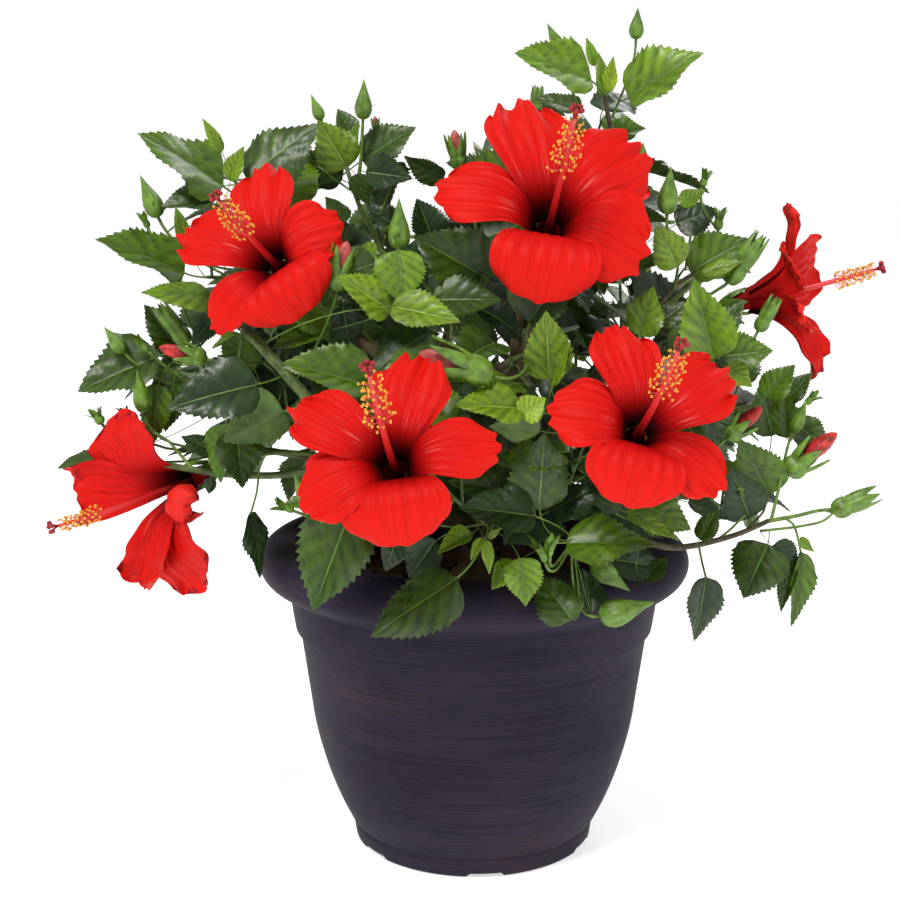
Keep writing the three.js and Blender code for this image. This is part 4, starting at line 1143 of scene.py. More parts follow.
def leaf_balls(leaf, room):
    blade = leaf_points(leaf, BLADE_U, BLADE_V)
    stalk = np.array([mix(leaf["root"], leaf["base"], t) for t in STALK_PLACES])
    return np.concatenate([blade, stalk]), np.array([room] * len(blade) + [STALK_ROOM] * len(stalk))


def grow_leaf(shoot, share, turn, droop, random, size, stalk):
    """A leaf's stalk leans out from its shoot, its blade turns level and its face to the light."""
    start = shoot.point(share)
    direction = shoot.tangent(share)
    out = around(direction, turn)
    outward = unit(vec(start[0], start[1], 0))
    length = size * mix(1, 0.62, share) * mix(0.86, 1.12, random())
    lean = unit(direction * 0.5 + out * 0.85 + UP * 0.2)
    base = start + lean * (stalk * mix(1.1, 0.6, share) * mix(0.85, 1.2, random()))
    ahead = lean + outward * (0.35 + 0.3 * random())
    ahead = unit(ahead + UP * (droop * mix(-0.75, 0.05, share) * mix(0.6, 1.2, random())))
    light = UP * 0.8 + outward * 0.55 + out * (0.5 * (random() - 0.5))
    side = unit(cross(light, ahead))
    curl = LEAF["curl"] * mix(0.4, 1.5, random())
    return {"root": start, "base": base, "ahead": ahead, "side": side, "normal": unit(cross(ahead, side)),
            "length": length, "curl": curl, "share": share}


def grow_bud(start, direction, turn, random):
    rise = unit(direction + around(direction, turn) * 0.55 + UP * 0.5)
    size = mix(0.65, 1.1, random())
    base = start + rise * (BUD["stalk_length"] * mix(0.7, 1.15, random()))
    return {"root": start, "base": base, "axis": rise, "length": BUD["length"] * size,
            "radius": BUD["radius"] * size}


def bud_balls(bud):
    body = [bud["base"] + bud["axis"] * (t * bud["length"]) for t in (0.1, 0.35, 0.65, 0.9)]
    stalk = [mix(bud["root"], bud["base"], t) for t in STALK_PLACES]
    return np.array(body + stalk), np.array([bud["radius"]] * len(body) + [STALK_ROOM] * len(stalk))


# Foliage

def side_shoot(carrier, t, spread, turn, length, thick, thin):
    root = carrier.point(t)
    tangent = carrier.tangent(t)
    leave = unit(tangent * math.cos(spread) + around(tangent, turn) * math.sin(spread) + UP * TWIG["lift"])
    arrive = unit(leave + UP * TWIG["lift"])
    return Bent(root, leave, arrive, length, thick, thin)


class Mass:
    """The shoots, leaves and buds that one limb carries."""

    def __init__(self, name, twigs, seed, droop):
        self.name, self.owner, self.droop = name, "foliage_" + name, droop
        self.random = Draws(seed)
        self.shoots, self.fine, self.leaves, self.buds, self.blades = [stems[name]], [], [], [], []
        self.add_twigs(twigs)
        self.add_buds()
        for shoot in self.shoots:
            self.add_leaves(shoot, LEAF["internode"], LEAF["length"], LEAF["stalk_length"], ROOM)

    def add_twigs(self, twigs):
        phase = self.random.angle()
        for k in range(twigs):
            t = mix(TWIG["first"], TWIG["last"], (k + 0.5) / twigs)
            spread = math.radians(TWIG["spread"] * mix(0.8, 1.25, self.random()))
            length = TWIG["length"] * mix(0.7, 1.1, self.random())
            turn = phase + k * GOLDEN
            twig = side_shoot(self.shoots[0], t, spread, turn, length, TWIG["root"], TWIG["end"])
            balls = wood_balls(twig, 0.15, 1, ROOM["twig"])
            if is_free(self.owner, *balls):
                taken.take(self.owner, *balls)
                self.shoots.append(twig)

    def add_buds(self):
        for index, shoot in enumerate(self.shoots):
            turn = self.random.angle()
            bud = grow_bud(shoot.point(BUD["place"]), shoot.tangent(BUD["place"]), turn, self.random)
            wanted = index == 0 or self.random() < BUD["chance"]
            if wanted and is_free(self.owner, *bud_balls(bud)):
                taken.take(self.owner, *bud_balls(bud))
                self.buds.append(bud)

    def is_inside(self, point):
        own = math.dist(point, hearts[self.name])
        return all(own <= ROOM["neighbour"] * math.dist(point, heart) for heart in hearts.values())

    def fits(self, leaf, room):
        if not self.is_inside(leaf_points(leaf, MIDDLE, 0)):
            return False
        points, radii = leaf_balls(leaf, room["leaf"])
        if self.blades:
            others = np.concatenate(self.blades)
            apart = ((points[:, None] - others[None]) ** 2).sum(2).min()
            if apart < room["blade"] ** 2:
                return False
        return is_free(self.owner, points, radii)

    def add_leaves(self, shoot, internode, size, stalk, room):
        count = max(LEAF["least"], int(shoot.length / internode + 0.5))
        phase = self.random.angle()
        for i in range(count):
            share = (i + 0.6) / count
            for attempt in range(room["tries"]):
                turn = phase + i * GOLDEN + attempt * 1.1
                leaf = grow_leaf(shoot, share, turn, self.droop, self.random, size, stalk)
                if self.fits(leaf, room):
                    points, radii = leaf_balls(leaf, room["leaf"])
                    taken.take(self.owner, points, radii)
                    self.leaves.append(leaf)
                    self.blades.append(points[1:len(BLADE_U)])
                    break

    def grow_on(self):
        """Finer shoots from the twigs, with smaller leaves that may stand closer."""
        room = {"leaf": FINE["leaf_room"], "blade": FINE["blade"], "tries": FINE["tries"]}
        phase = self.random.angle()
        for shoot in self.shoots:
            for k in range(FINE["shoots"]):
                t = mix(0.1, 0.95, (k + self.random()) / FINE["shoots"])
                spread = math.radians(FINE["spread"] * self.random.between(0.7, 1.2))
                length = FINE["length"] * self.random.between(0.6, 1.2)
                phase += GOLDEN
                twig = side_shoot(shoot, t, spread, phase, length, FINE["root"], FINE["end"])
                if is_free(self.owner, *wood_balls(twig, 0.2, 1, FINE["room"])):
                    self.fine.append(twig)
                    self.add_leaves(twig, FINE["internode"], FINE["leaf"], FINE["stalk"], room)
        for shoot in self.shoots:
            spacing, size = FINE["internode"] * FINE["old_spacing"], FINE["leaf"] * FINE["old_growth"]
            self.add_leaves(shoot, spacing, size, FINE["stalk"] * FINE["old_spacing"], room)


stems, hearts = {}, {}
for name in LIMBS:
    stems[name] = Part(lines[name], BOUGH["split"] + GAP / lines[name].length)
    hearts[name] = stems[name].point(0.6)
    taken.take("foliage_" + name, *wood_balls(stems[name], 0, 1, ROOM["wood"]))

masses = [Mass(name, twigs, seed, droop) for name, (_, _, _, _, twigs, seed, droop) in LIMBS.items()]
taken.radii[:taken.count] *= FINE["share"]
for mass in masses:
    mass.grow_on()


# What the photograph shows plainly

def inside_edge(pixels):
    """Which pixels lie inside the crown's edge and outside its open places."""
    inside = np.zeros(len(pixels), bool)
    for (x1, y1), (x2, y2) in zip(CROWN_EDGE, CROWN_EDGE[1:] + CROWN_EDGE[:1]):
        crosses = (y1 > pixels[:, 1]) != (y2 > pixels[:, 1])
        if y1 != y2:
            inside ^= crosses & (pixels[:, 0] < (x2 - x1) * (pixels[:, 1] - y1) / (y2 - y1) + x1)
    for (x, y), radius in OPEN_PLACES:
        inside &= np.hypot(pixels[:, 0] - x, pixels[:, 1] - y) > radius
    return inside


def seen_leaf(row):
    """A leaf whose blade lies along a line between two places in the photograph."""
    foot, tip, depth, lean, tilt, width, shade = row
    base, end = photo_place(foot, depth), photo_place(tip, depth + lean)
    length = math.dist(base, end)
    ahead = unit(end - base)
    towards = CAMERA_POINT - base
    towards = unit(towards - ahead * (towards @ ahead))
    above = cross(ahead, towards)
    if above[2] + 0.2 * above[0] < 0:
        above = -above
    tilt = math.radians(tilt)
    normal = towards * math.cos(tilt) + above * math.sin(tilt)
    return {"base": base, "ahead": ahead, "side": cross(normal, ahead), "normal": normal, "length": length,
            "shade": shade, "width": width}


def seen_bud(row):
    foot, tip, depth, wide, kind, spread = row
    base, end = photo_place(foot, depth), photo_place(tip, depth - 2)
    length = math.dist(base, end)
    return {"base": base, "axis": unit(end - base), "length": length, "kind": kind, "spread": spread,
            "radius": wide * (0.9 + 0.18 * length)}


def seen_stem(row):
    pixels, start, end, thick, thin, finish = row
    count = len(pixels)
    points = [photo_place(pixel, mix(start, end, i / (count - 1))) for i, pixel in enumerate(pixels)]
    return np.array(points), thick, thin, finish


seen_leaves = [seen_leaf(row) for row in SEEN_LEAVES.values()]
seen_buds = [seen_bud(row) for row in SEEN_BUDS.values()]
seen_stems = [seen_stem(row) for row in SEEN_STEMS.values()]


def wood_points():
    """Places on the limbs and twigs that a stalk may spring from."""
    places = [points_along(lines[name], 0.15, BOUGH["split"], 12) for name in LIMBS]
    places += [points_along(shoot, 0.1 * shoot.cut, shoot.cut, 8) for mass in masses for shoot in mass.shoots]
    for points, *_ in seen_stems:
        places += [mix(a, b, np.linspace(0, 1, 5)[:, None]) for a, b in zip(points, points[1:])]
    return np.concatenate(places)


def meets_bloom(wood, base):
    """Which straight ways from the wood to the base pass through the petals of a bloom."""
    meets = np.zeros(len(wood), bool)
    for bloom in BLOOMS.values():
        throat, _, _, axis = bloom_frame(bloom)
        for t in (0.2, 0.4, 0.6, 0.8):
            away = mix(wood, base, t) - throat
            height = away @ axis
            out = np.linalg.norm(away - height[:, None] * axis, axis=1)
            meets |= (out < bloom["radius"]) & (np.abs(height) < 0.3 * bloom["radius"])
    return meets


# How a place to spring from is chosen: what depth behind and in front counts, what is too near, and what
# being too near or past a bloom costs.
SPRING = {"behind": 0.6, "in_front": 1.6, "near": 5, "near_cost": 30, "bloom_cost": 60}


def nearest_wood(wood, base, direction):
    """The place to spring from that is near the base, and behind it rather than beside it."""
    away = wood - base
    away[:, 1] *= np.where(away[:, 1] > 0, SPRING["behind"], SPRING["in_front"])
    distance = np.sqrt((away ** 2).sum(1))
    ahead = (away @ direction) / (distance + 1e-6)
    cost = distance * (1.35 + ahead) + SPRING["near_cost"] * (distance < SPRING["near"])
    return wood[np.argmin(cost + SPRING["bloom_cost"] * meets_bloom(wood, base))]


def curtain():
    """The pixels and depths of everything photographed, that no other leaf may hide."""
    u = np.array([0.08, 0.3, 0.5, 0.7, 0.9])
    v = np.array([-0.7, 0.0, 0.7])
    pieces = []
    for leaf in seen_leaves:
        leaf = {**leaf, "curl": 0.0}
        pieces += [leaf_points(leaf, np.full(3, each), v) for each in u]
    for bud in seen_buds:
        pieces += [bud["base"] + np.outer(np.linspace(0, 1, 4), bud["axis"] * bud["length"])]
    for points, *_ in seen_stems:
        pieces += [mix(a, b, t)[None] for a, b in zip(points, points[1:]) for t in (0.2, 0.6, 1.0)]
    for name in SEEN_BLOOMS:
        throat, tips, _ = petal_tips(name, BLOOMS[name])
        axis = bloom_frame(BLOOMS[name])[3]
        for petal in tips:
            grid = petal_grid(throat, axis, BLOOMS[name]["radius"], petal, 0, Draws(5))[0]
            pieces.append(grid[6::6, 2::5].reshape(-1, 3))
        line = column_line(name, BLOOMS[name], throat)
        pieces += [line(t)[None] for t in np.linspace(0.3, 1, 9)]
    return photo_pixels(np.concatenate(pieces))


CURTAIN_GAP = 8
CURTAIN_DEPTH = 3
CARRY_GAP = 4


def clear_view(screen, points):
    """Whether points stay inside the crown's edge, and out of the view of what the photograph shows."""
    pixels, away = photo_pixels(points)
    if not inside_edge(pixels).all():
        return False
    seen_pixels, seen_away = screen
    near = np.hypot(*(pixels[:, None] - seen_pixels[None]).transpose(2, 0, 1)) < CURTAIN_GAP
    hides = near & (away[:, None] < seen_away[None] + CURTAIN_DEPTH)
    return hides.any(1).sum() < 2


def drawn_wood(shoots):
    return np.concatenate([points_along(shoot, 0, shoot.cut, 33) for shoot in shoots])


def is_carried(root, wood):
    return np.linalg.norm(wood - root, axis=1).min() < CARRY_GAP


def cut_back(shoot, roots):
    """A shoot ends where the last of what it carries springs from it."""
    places = np.linspace(0, shoot.cut, 33)
    points = drawn_wood([shoot])
    used = (np.linalg.norm(points[:, None] - np.array(roots)[None], axis=2) < CARRY_GAP).any(1)
    shoot.cut = min(shoot.cut, places[used].max() + 0.02) if used.any() else 0.0


def cut_at_edge(shoot):
    """A twig ends where it would leave the crown's edge, or is whole."""
    inside = inside_edge(photo_pixels(points_along(shoot, 0, 1, 11))[0])
    shoot.cut = 1.0 if inside.all() else max(0.3, np.argmin(inside) / 10)


def stays(screen, wood, root, points):
    return clear_view(screen, points) and is_carried(root, wood)


def trim_growth():
    """Takes out what would hide the photographed growth or leave the crown, and what nothing carries then."""
    screen = curtain()
    bloom_roots = [lines[name].point(0) for name in BLOOMS]
    for mass in masses:
        for shoot in mass.shoots:
            cut_at_edge(shoot)
        wood = drawn_wood(mass.shoots)
        mass.fine = [shoot for shoot in mass.fine
                     if stays(screen, wood, shoot.point(0), points_along(shoot, 0.3, 1, 6))]
        for shoot in mass.fine:
            shoot.cut = 1.0
        wood = drawn_wood(mass.shoots + mass.fine)
        mass.leaves = [leaf for leaf in mass.leaves
                       if stays(screen, wood, leaf["root"], leaf_points(leaf, BLADE_U, BLADE_V))]
        mass.buds = [bud for bud in mass.buds if stays(screen, wood, bud["root"], bud_balls(bud)[0])]
        roots = [each["root"] for each in mass.leaves + mass.buds] + bloom_roots
        for shoot in mass.fine + mass.shoots[:0:-1] + mass.shoots[:1]:
            cut_back(shoot, roots)
            if shoot.cut > 0:
                roots.append(shoot.point(0))


# The blades

TEETH = 10
TOOTH_START = 0.27
TOOTH_END = 0.965
VEINS = 5.6
WIDEST = 0.368


def blade_rows():
    """The stations along a blade, a row at each notch and each tooth's point, and which rows are points."""
    rows = [(u, 0) for u in (0.0, 0.035, 0.09, 0.17)]
    notches = [mix(TOOTH_START, TOOTH_END, (k / TEETH) ** 0.94) for k in range(TEETH + 1)]
    for start, end in zip(notches, notches[1:]):
        rows += [(start, 0), (mix(start, end, 0.78), 1)]
    return np.array(rows + [(0.97, 0), (1.0, 0)])


class Pattern:
    """The grid that a blade is laid out on, and how far its side veins run forward."""

    def __init__(self, rows, lanes, slant):
        lanes = np.array(lanes)
        self.slant = slant
        self.u = np.repeat(rows[:, 0:1], len(lanes), 1)
        self.v = np.repeat(lanes[None], len(rows), 0)
        self.point = np.repeat(rows[:, 1:2], len(lanes), 1)
        self.vein = np.tile(np.arange(len(lanes) - 1) == len(lanes) // 2 - 1, len(rows) - 1)


HALF_LANES = [0.025, 0.16, 0.32, 0.48, 0.64, 0.8, 0.92, 1]
GROWN = Pattern(blade_rows(), [-1, -0.76, -0.42, -0.03, 0.03, 0.42, 0.76, 1], 0.16)
SEEN = Pattern(blade_rows(), [-lane for lane in reversed(HALF_LANES)] + HALF_LANES, 0.32)


def outline(u):
    """The half width of a real blade, widest in its lower third and drawn out at its tip."""
    return u**0.5 * (1 - u) ** 1.12 / WIDEST


def blade_grid(leaf, pattern):
    """The points of a blade, and how far each stands out of the grooves along the side veins, which sets its
    painted shade and sheen.
    """
    u, v, point = pattern.u, pattern.v, pattern.point
    rim = np.abs(v) ** 6
    width = np.maximum(outline(np.clip(u, 1e-4, 1 - 1e-4)), 0.02)
    tooth = 1 + rim * (u > 0.2) * mix(-0.045, 0.055, point) * (1 + 0.6 * u)
    half = leaf["length"] * leaf["width"] * width * tooth
    ahead = leaf["length"] * (u + rim * point * 0.014)
    veins = (u - pattern.slant * np.abs(v) ** 0.9) * VEINS + leaf["phase"]
    puff = np.sin(np.pi * (veins - np.floor(veins))) ** 0.8
    quilt = leaf["quilt"] * leaf["length"]
    relief = quilt * (puff - 0.6) * (1 - rim) * np.minimum(1, np.abs(v) * 5) * (1 - u**4)
    relief = relief - 0.3 * quilt * (np.abs(v) < 0.1) * (1 - u)
    waves = np.sin(2 * np.pi * (1.6 * u + leaf["phase"] * 0.37 + 0.25 * np.sign(v)))
    wave = leaf["wave"] * half * v * v * waves
    rise = leaf["fold"] * np.abs(v) * half - leaf["arch"] * v * v * half + relief + wave
    drop = leaf["curl"] * leaf["length"] * u * u
    twist = leaf["twist"] * u
    across = v * half * np.cos(twist) - rise * np.sin(twist)
    lift = v * half * np.sin(twist) + rise * np.cos(twist) - drop
    grid = (leaf["base"] + ahead[..., None] * leaf["ahead"] + across[..., None] * leaf["side"]
            + lift[..., None] * leaf["normal"])
    return grid, puff * np.minimum(1, 0.35 + 3 * np.abs(v))


# Where the crown's light is: how far back it starts to come from the front, over what depth, and its weights.
LIGHT = {"starts": 70, "depth": 140, "front": 0.75, "up": 0.15}


def turn_to_light(leaf):
    """A blade in the front half of the crown rolls a little more towards the front, where its light is."""
    share = float(np.clip((LIGHT["starts"] - leaf["base"][1]) / LIGHT["depth"], 0, 1))
    light = leaf["normal"] + FRONT * (LIGHT["front"] * share) + UP * LIGHT["up"]
    leaf["side"] = unit(cross(light, leaf["ahead"]))
    leaf["normal"] = cross(leaf["ahead"], leaf["side"])


# The crown's half width and half depth, its foot and its height, and what a young leaf is.
CROWN = {"half": (250, 230), "foot": 200, "height": 300}
YOUNG = {"share": 0.62, "length": 46}


def grown_looks(leaf, random):
    """The shade of a grown blade, and its width. The blade is lighter at the ends of shoots, where leaves are
    young, and lighter far out and high up, which is painted light where the crown is lit and painted shade
    within it.
    """
    young = leaf["share"] > YOUNG["share"] and leaf["length"] < YOUNG["length"]
    outward = math.hypot(leaf["base"][0] / CROWN["half"][0], leaf["base"][1] / CROWN["half"][1])
    height = (leaf["base"][2] - CROWN["foot"]) / CROWN["height"]
    # The height and outward terms paint light on the high, outer blades and shade on the inner, low ones; the
    # share along the shoot and youth are the leaf's own colour.
    tone = 0.7 + 1.4 * height + 1.2 * (outward - 0.6) + 1.8 * (leaf["share"] - 0.5)
    tone = tone + random.between(-1.3, 1.3) + (1.0 if young else 0)
    leaf["shade"] = int(np.clip(round(tone), 0, len(LEAF_SHADES) - 1))
    leaf["width"] = LEAF["width"] * random.between(1.0, 1.2)
    leaf["length"] *= 0.93
    leaf["curl"] *= random.between(0.8, 1.5)
    turn_to_light(leaf)


def finish_leaf(leaf, random, sway):
    """What sets one blade apart from the next: its folds and waves."""
    leaf["fold"] = random.between(0.2, 0.65) if random() < 0.8 else random.between(-0.05, 0.25)
    leaf["arch"] = random.between(0.0, 0.35)
    leaf["wave"] = random.between(0.02, 0.16)
    leaf["twist"] = random.between(-sway, sway)
    leaf["quilt"] = random.between(0.028, 0.044)
    leaf["phase"] = random()


GREEN_WOOD, GREEN_STALK = range(2)
STALK_TAPER = np.array([1.0, 0.85, 0.75, 0.68, 0.66, 0.68, 0.8])
STALK_SHARE = 1 / 66


def add_leaf(blades, stalks, leaf, pattern):
    """A blade, and its stalk, which hangs a little and comes in from behind."""
    is_young = leaf["shade"] >= YOUNG_SHADE
    upper = np.where(pattern.vein, VEIN_YOUNG if is_young else VEIN_OLD, leaf["shade"])
    under = UNDER_YOUNG if is_young else UNDER_OLD
    # How far each point stands out of the grooves goes to the material as painted shade and sheen.
    grid, groove = blade_grid(leaf, pattern)
    add_sheet(blades, grid, THICK["leaf"], upper, under, groove=groove.ravel())
    start, end = leaf["root"], leaf["base"] + leaf["ahead"] * 1.5
    reach = math.dist(start, end)
    bend = mix(start, end - leaf["ahead"] * (0.42 * reach), 0.85) - UP * (0.04 * reach)
    line = [bowed(start, bend, end, t) for t in np.linspace(0, 1, len(STALK_TAPER))]
    add_tube(stalks, line, STALK_TAPER * leaf["length"] * STALK_SHARE, 5, GREEN_STALK)


REGION_EDGES = (-40, 60)


def region_of(mass):
    """Which piece a mass's leaves go into, by its name or by how far to the side its foliage ends."""
    across = LIMBS[mass.name][2][0]
    if mass.name.startswith("back"):
        return "back"
    return "left" if across < REGION_EDGES[0] else "right" if across > REGION_EDGES[1] else "middle"


def make_foliage():
    regions = {}
    for mass in masses:
        regions.setdefault(region_of(mass), []).append(mass)
    for region, members in regions.items():
        blades, twigs = Shape("groove"), Shape()
        random = Draws(len(region) * 31 + 7)
        for mass in members:
            for leaf in mass.leaves:
                grown_looks(leaf, random)
                finish_leaf(leaf, random, 0.5)
                add_leaf(blades, twigs, leaf, GROWN)
            for shoot in mass.shoots + mass.fine:
                add_shoot(twigs, shoot)
        leaves = blades.build("leaves_" + region, leaf_finishes)
        shoots = twigs.build("twigs_" + region, [green_wood, stalk_green])
        for piece in (leaves, shoots):
            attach(piece, "root")
        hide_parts(*[mass.owner for mass in members])


def add_shoot(twigs, shoot):
    """A shoot up to where it is cut, with small swellings along it like the joints of a twig."""
    if shoot.cut < 0.08:
        return
    steps = max(6, int(shoot.length / 6))
    places = np.linspace(0, shoot.cut, steps + 1)
    points = smooth(points_along(shoot, 0, shoot.cut, steps + 1))
    radii = [shoot.radius(t) * (1.12 if i % 2 else 0.98) for i, t in enumerate(places)]
    radii[-1] *= 0.45
    add_tube(twigs, points, radii, 6, GREEN_WOOD)


def make_seen_growth(wood):
    """The leaves, stems and stalks that the photograph shows plainly."""
    blades, twigs = Shape("groove"), Shape()
    random = Draws(77)
    for leaf in seen_leaves:
        leaf["curl"] = random.between(0.02, 0.12)
        finish_leaf(leaf, random, 0.2)
        leaf["root"] = nearest_wood(wood, leaf["base"], leaf["ahead"])
        add_leaf(blades, twigs, leaf, SEEN)
    limbs = np.concatenate([points_along(lines[name], 0.1, 0.6, 12) for name in LIMBS])
    for points, thick, thin, finish in seen_stems:
        foot = nearest_wood(limbs, points[0], points[1] - points[0])
        carried = finish == GREEN_WOOD
        path = np.concatenate([[foot, mix(foot, points[0], 0.6)], points]) if carried else points
        path = smooth(resample(path, 24), 6)
        add_tube(twigs, path, np.linspace(thick, thin, len(path)), 8, finish)
    leaves = blades.build("leaves_in_front", leaf_finishes)
    shoots = twigs.build("twigs_in_front", [green_wood, stalk_green, brown_wood])
    for piece in (leaves, shoots):
        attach(piece, "root")


def resample(points, count):
    points = np.asarray(points)
    steps = np.concatenate([[0], np.cumsum(np.linalg.norm(np.diff(points, axis=0), axis=1))])
    places = np.linspace(0, steps[-1], count)
    return np.stack([np.interp(places, steps, points[:, k]) for k in range(3)], -1)


def smooth(points, passes=2):
    points = np.array(points, float)
    for _ in range(passes):
        points[1:-1] = (points[:-2] + 2 * points[1:-1] + points[2:]) / 4
    return points


# Wood

def add_limb(wood, line, start, end, sides, steps, collar=0.0):
    """A limb with ridged bark, and a collar where it leaves its carrier."""
    places = np.linspace(start, end, steps + 1)
    points = points_along(line, start, end, steps + 1)
    swell = collar * np.exp(-((places - start) * line.length / 5) ** 2)
    radii = np.array([line.radius(t) for t in places]) * (1 + swell)

    def relief(t, angles):
        wide_ridges = 0.045 * np.sin(angles * 5 + line.length + 3 * math.sin(9 * t))
        fine_ridges = 0.03 * np.sin(angles * 9 - 17 * t * 3)
        return 1 + wide_ridges + fine_ridges + 0.05 * math.sin(t * line.length * 0.9) ** 8

    add_tube(wood, points, radii, sides, 0, relief)


def make_wood():
    crown_ball = 8.2
    wood = Shape()
    add_limb(wood, lines["trunk"], -0.04, 1.0, 28, 34)
    ball, faces = blob(10, 20)
    wood.add(lines["trunk"].point(1.0) + ball * crown_ball, faces)
    for name in LIMBS:
        add_limb(wood, lines[name], 0, BOUGH["split"] + 0.02, 12, 30, 0.45)
    piece = wood.build("branches", [bark])
    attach(piece, "root")
    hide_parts("trunk", *["bough_" + name for name in LIMBS])


# Buds, calyxes and blooms

def basis(axis):
    """Two directions square to an axis and to each other."""
    side = around(axis, 0)
    return side, cross(axis, side)


def scaled(profile, length, radius):
    return [(t * length, r * radius) for t, r in profile]


def add_turned(shape, base, axis, profile, sides, finish, ribs=0.0, rib_count=5, **fields):
    """A body of revolution about an axis, from (distance along it, radius) pairs, with ribs round it."""
    side, top = basis(axis)
    angles = round_angles(sides)
    wave = 1 + ribs * np.cos(rib_count * angles)
    spokes = np.outer(np.cos(angles) * wave, side) + np.outer(np.sin(angles) * wave, top)
    rings = [base + axis * height + spokes * radius for height, radius in profile]
    shape.add(np.array(rings), grid_faces(len(rings), sides, closed=True)[:, ::-1], finish, **fields)


def add_bract(shape, base, axis, angle, length, width, spread):
    """A narrow green blade that leaves the axis and curves out."""
    side, top = basis(axis)
    out = side * math.cos(angle) + top * math.sin(angle)
    wide = cross(axis, out)
    u = np.linspace(0, 1, 6)[:, None]
    v = np.linspace(-1, 1, 3)[None]
    half = width * np.sin(np.pi * np.clip(0.12 + 0.86 * u, 0, 0.985)) ** 0.8
    rise = length * np.sin(u * 1.35) / 1.35 + 0 * v
    away = spread * length * u**1.5 + 0.25 * half * np.abs(v)
    grid = base + rise[..., None] * axis + away[..., None] * out + (half * v)[..., None] * wide
    add_sheet(shape, grid, THICK["bract"], CALYX, CALYX)


def add_calyx(shape, base, axis, length, radius, spread, parted=0.42):
    """Five pointed sepals that are fused into a cup up to where they have parted."""
    side, top = basis(axis)
    u = np.linspace(0, 1, 9)[:, None]
    v = np.linspace(-1, 1, 5)[None]
    open_share = np.clip((u - parted) / (1 - parted), 0, 1)
    half = (math.pi / PETALS) * (1 - open_share**1.2 * 0.96)
    swell = radius * (0.35 + 0.75 * np.sin(np.pi * np.clip(u * 0.72, 0, 0.55)) + spread * open_share**1.6)
    narrowed = 1 - 0.35 * (parted > 0.5) * u**2
    away = swell * narrowed * (1 + 0.07 * np.cos(v * np.pi))
    rise = length * u + 0 * v
    for angle in round_angles(PETALS):
        turn = angle + v * half
        grid = (base + rise[..., None] * axis + (away * np.cos(turn))[..., None] * side
                + (away * np.sin(turn))[..., None] * top)
        add_sheet(shape, grid, THICK["sepal"], CALYX, CALYX)


CALYX, STALK, PINK, RED = range(4)
BUD_KINDS = ("green", "green", "sepals", "pink", "bracts", "red")

# The outlines of a bud's body and of its petals, in shares of its length and its radius.
BUD_BODY = [
    (0, 0.35), (0.04, 0.66), (0.12, 0.88), (0.22, 1.0), (0.34, 0.98), (0.48, 0.82), (0.62, 0.58),
    (0.76, 0.35), (0.9, 0.16), (1, 0.02),
]
BUD_PETALS = [(0.3, 0.5), (0.5, 0.78), (0.68, 0.84), (0.84, 0.66), (0.95, 0.36), (1.0, 0.08)]

# How much of a bud's length its body takes, by its kind.
BODY_SHARE = {"green": 1.0, "pink": 0.86, "red": 0.60, "bracts": 0.62, "sepals": 0.8}


def add_bud(greens, bud, random):
    """A ribbed calyx in a ring of narrow bracts. Its petals show in a bud that is about to open."""
    axis, base, length, radius = bud["axis"], bud["base"], bud["length"], bud["radius"]
    kind, spread = bud["kind"], bud["spread"]
    bend = base - axis * (0.4 * math.dist(bud["root"], base))
    line = [bowed(bud["root"], bend, base, t) for t in np.linspace(0, 1, 9)]
    add_tube(greens, line, np.linspace(0.75, 1.0, 9), 6, STALK)
    body = scaled(BUD_BODY, length * BODY_SHARE[kind], radius * (0.7 if kind == "bracts" else 1))
    add_turned(greens, base, axis, body, 30, CALYX, 0.10)
    if kind in ("pink", "red"):
        petals = scaled(BUD_PETALS, length, radius * 0.85)
        add_turned(greens, base, axis, petals, 24, PINK if kind == "pink" else RED, 0.13, 3)
        add_calyx(greens, base, axis, length * (BODY_SHARE[kind] + 0.05), radius, 0.25)
    if kind == "sepals":
        add_calyx(greens, base, axis, length, radius, 0.1, 0.74)
    if kind == "bracts":
        count, longest, width, opened = 5, (0.8, 1.0), 0.32 * radius + 0.7, (0.4, 1.0)
    else:
        count, longest, width, opened = 7, (0.3, 0.55), 0.6 + 0.05 * radius, (0.6, 1.2)
    for start in round_angles(count):
        angle = start + random()
        reach = length * random.between(*longest)
        add_bract(greens, base + axis * 0.5, axis, angle, reach, width, spread * random.between(*opened))


def petal_tips(name, bloom):
    """Where each petal ends, with its width, ruffle, corner and share of painted highlight, and how far the
    bloom has wilted.
    """
    throat, right, top, axis = bloom_frame(bloom)
    radius = bloom["radius"]
    if name not in SEEN_BLOOMS:
        tips = []
        for angle, reach, *looks in BACK_PETALS:
            turned = math.radians(angle)
            out = right * math.cos(turned) + top * math.sin(turned)
            tips.append((throat + (out * reach - axis * 0.1) * radius, *looks))
        return throat, tips, 0
    seen_throat, _, _, wilt, petals = SEEN_BLOOMS[name]
    throat = photo_place(seen_throat, bloom["throat"][1])
    tips = []
    for pixel, depth, *looks in petals:
        if depth is None:
            ray = photo_ray(pixel)
            level = throat - axis * (0.1 * radius)
            tip = CAMERA_POINT + ray * (((level - CAMERA_POINT) @ axis) / (ray @ axis))
        else:
            tip = photo_place(pixel, throat[1] + depth)
        tips.append((tip, *looks))
    return throat, tips, wilt


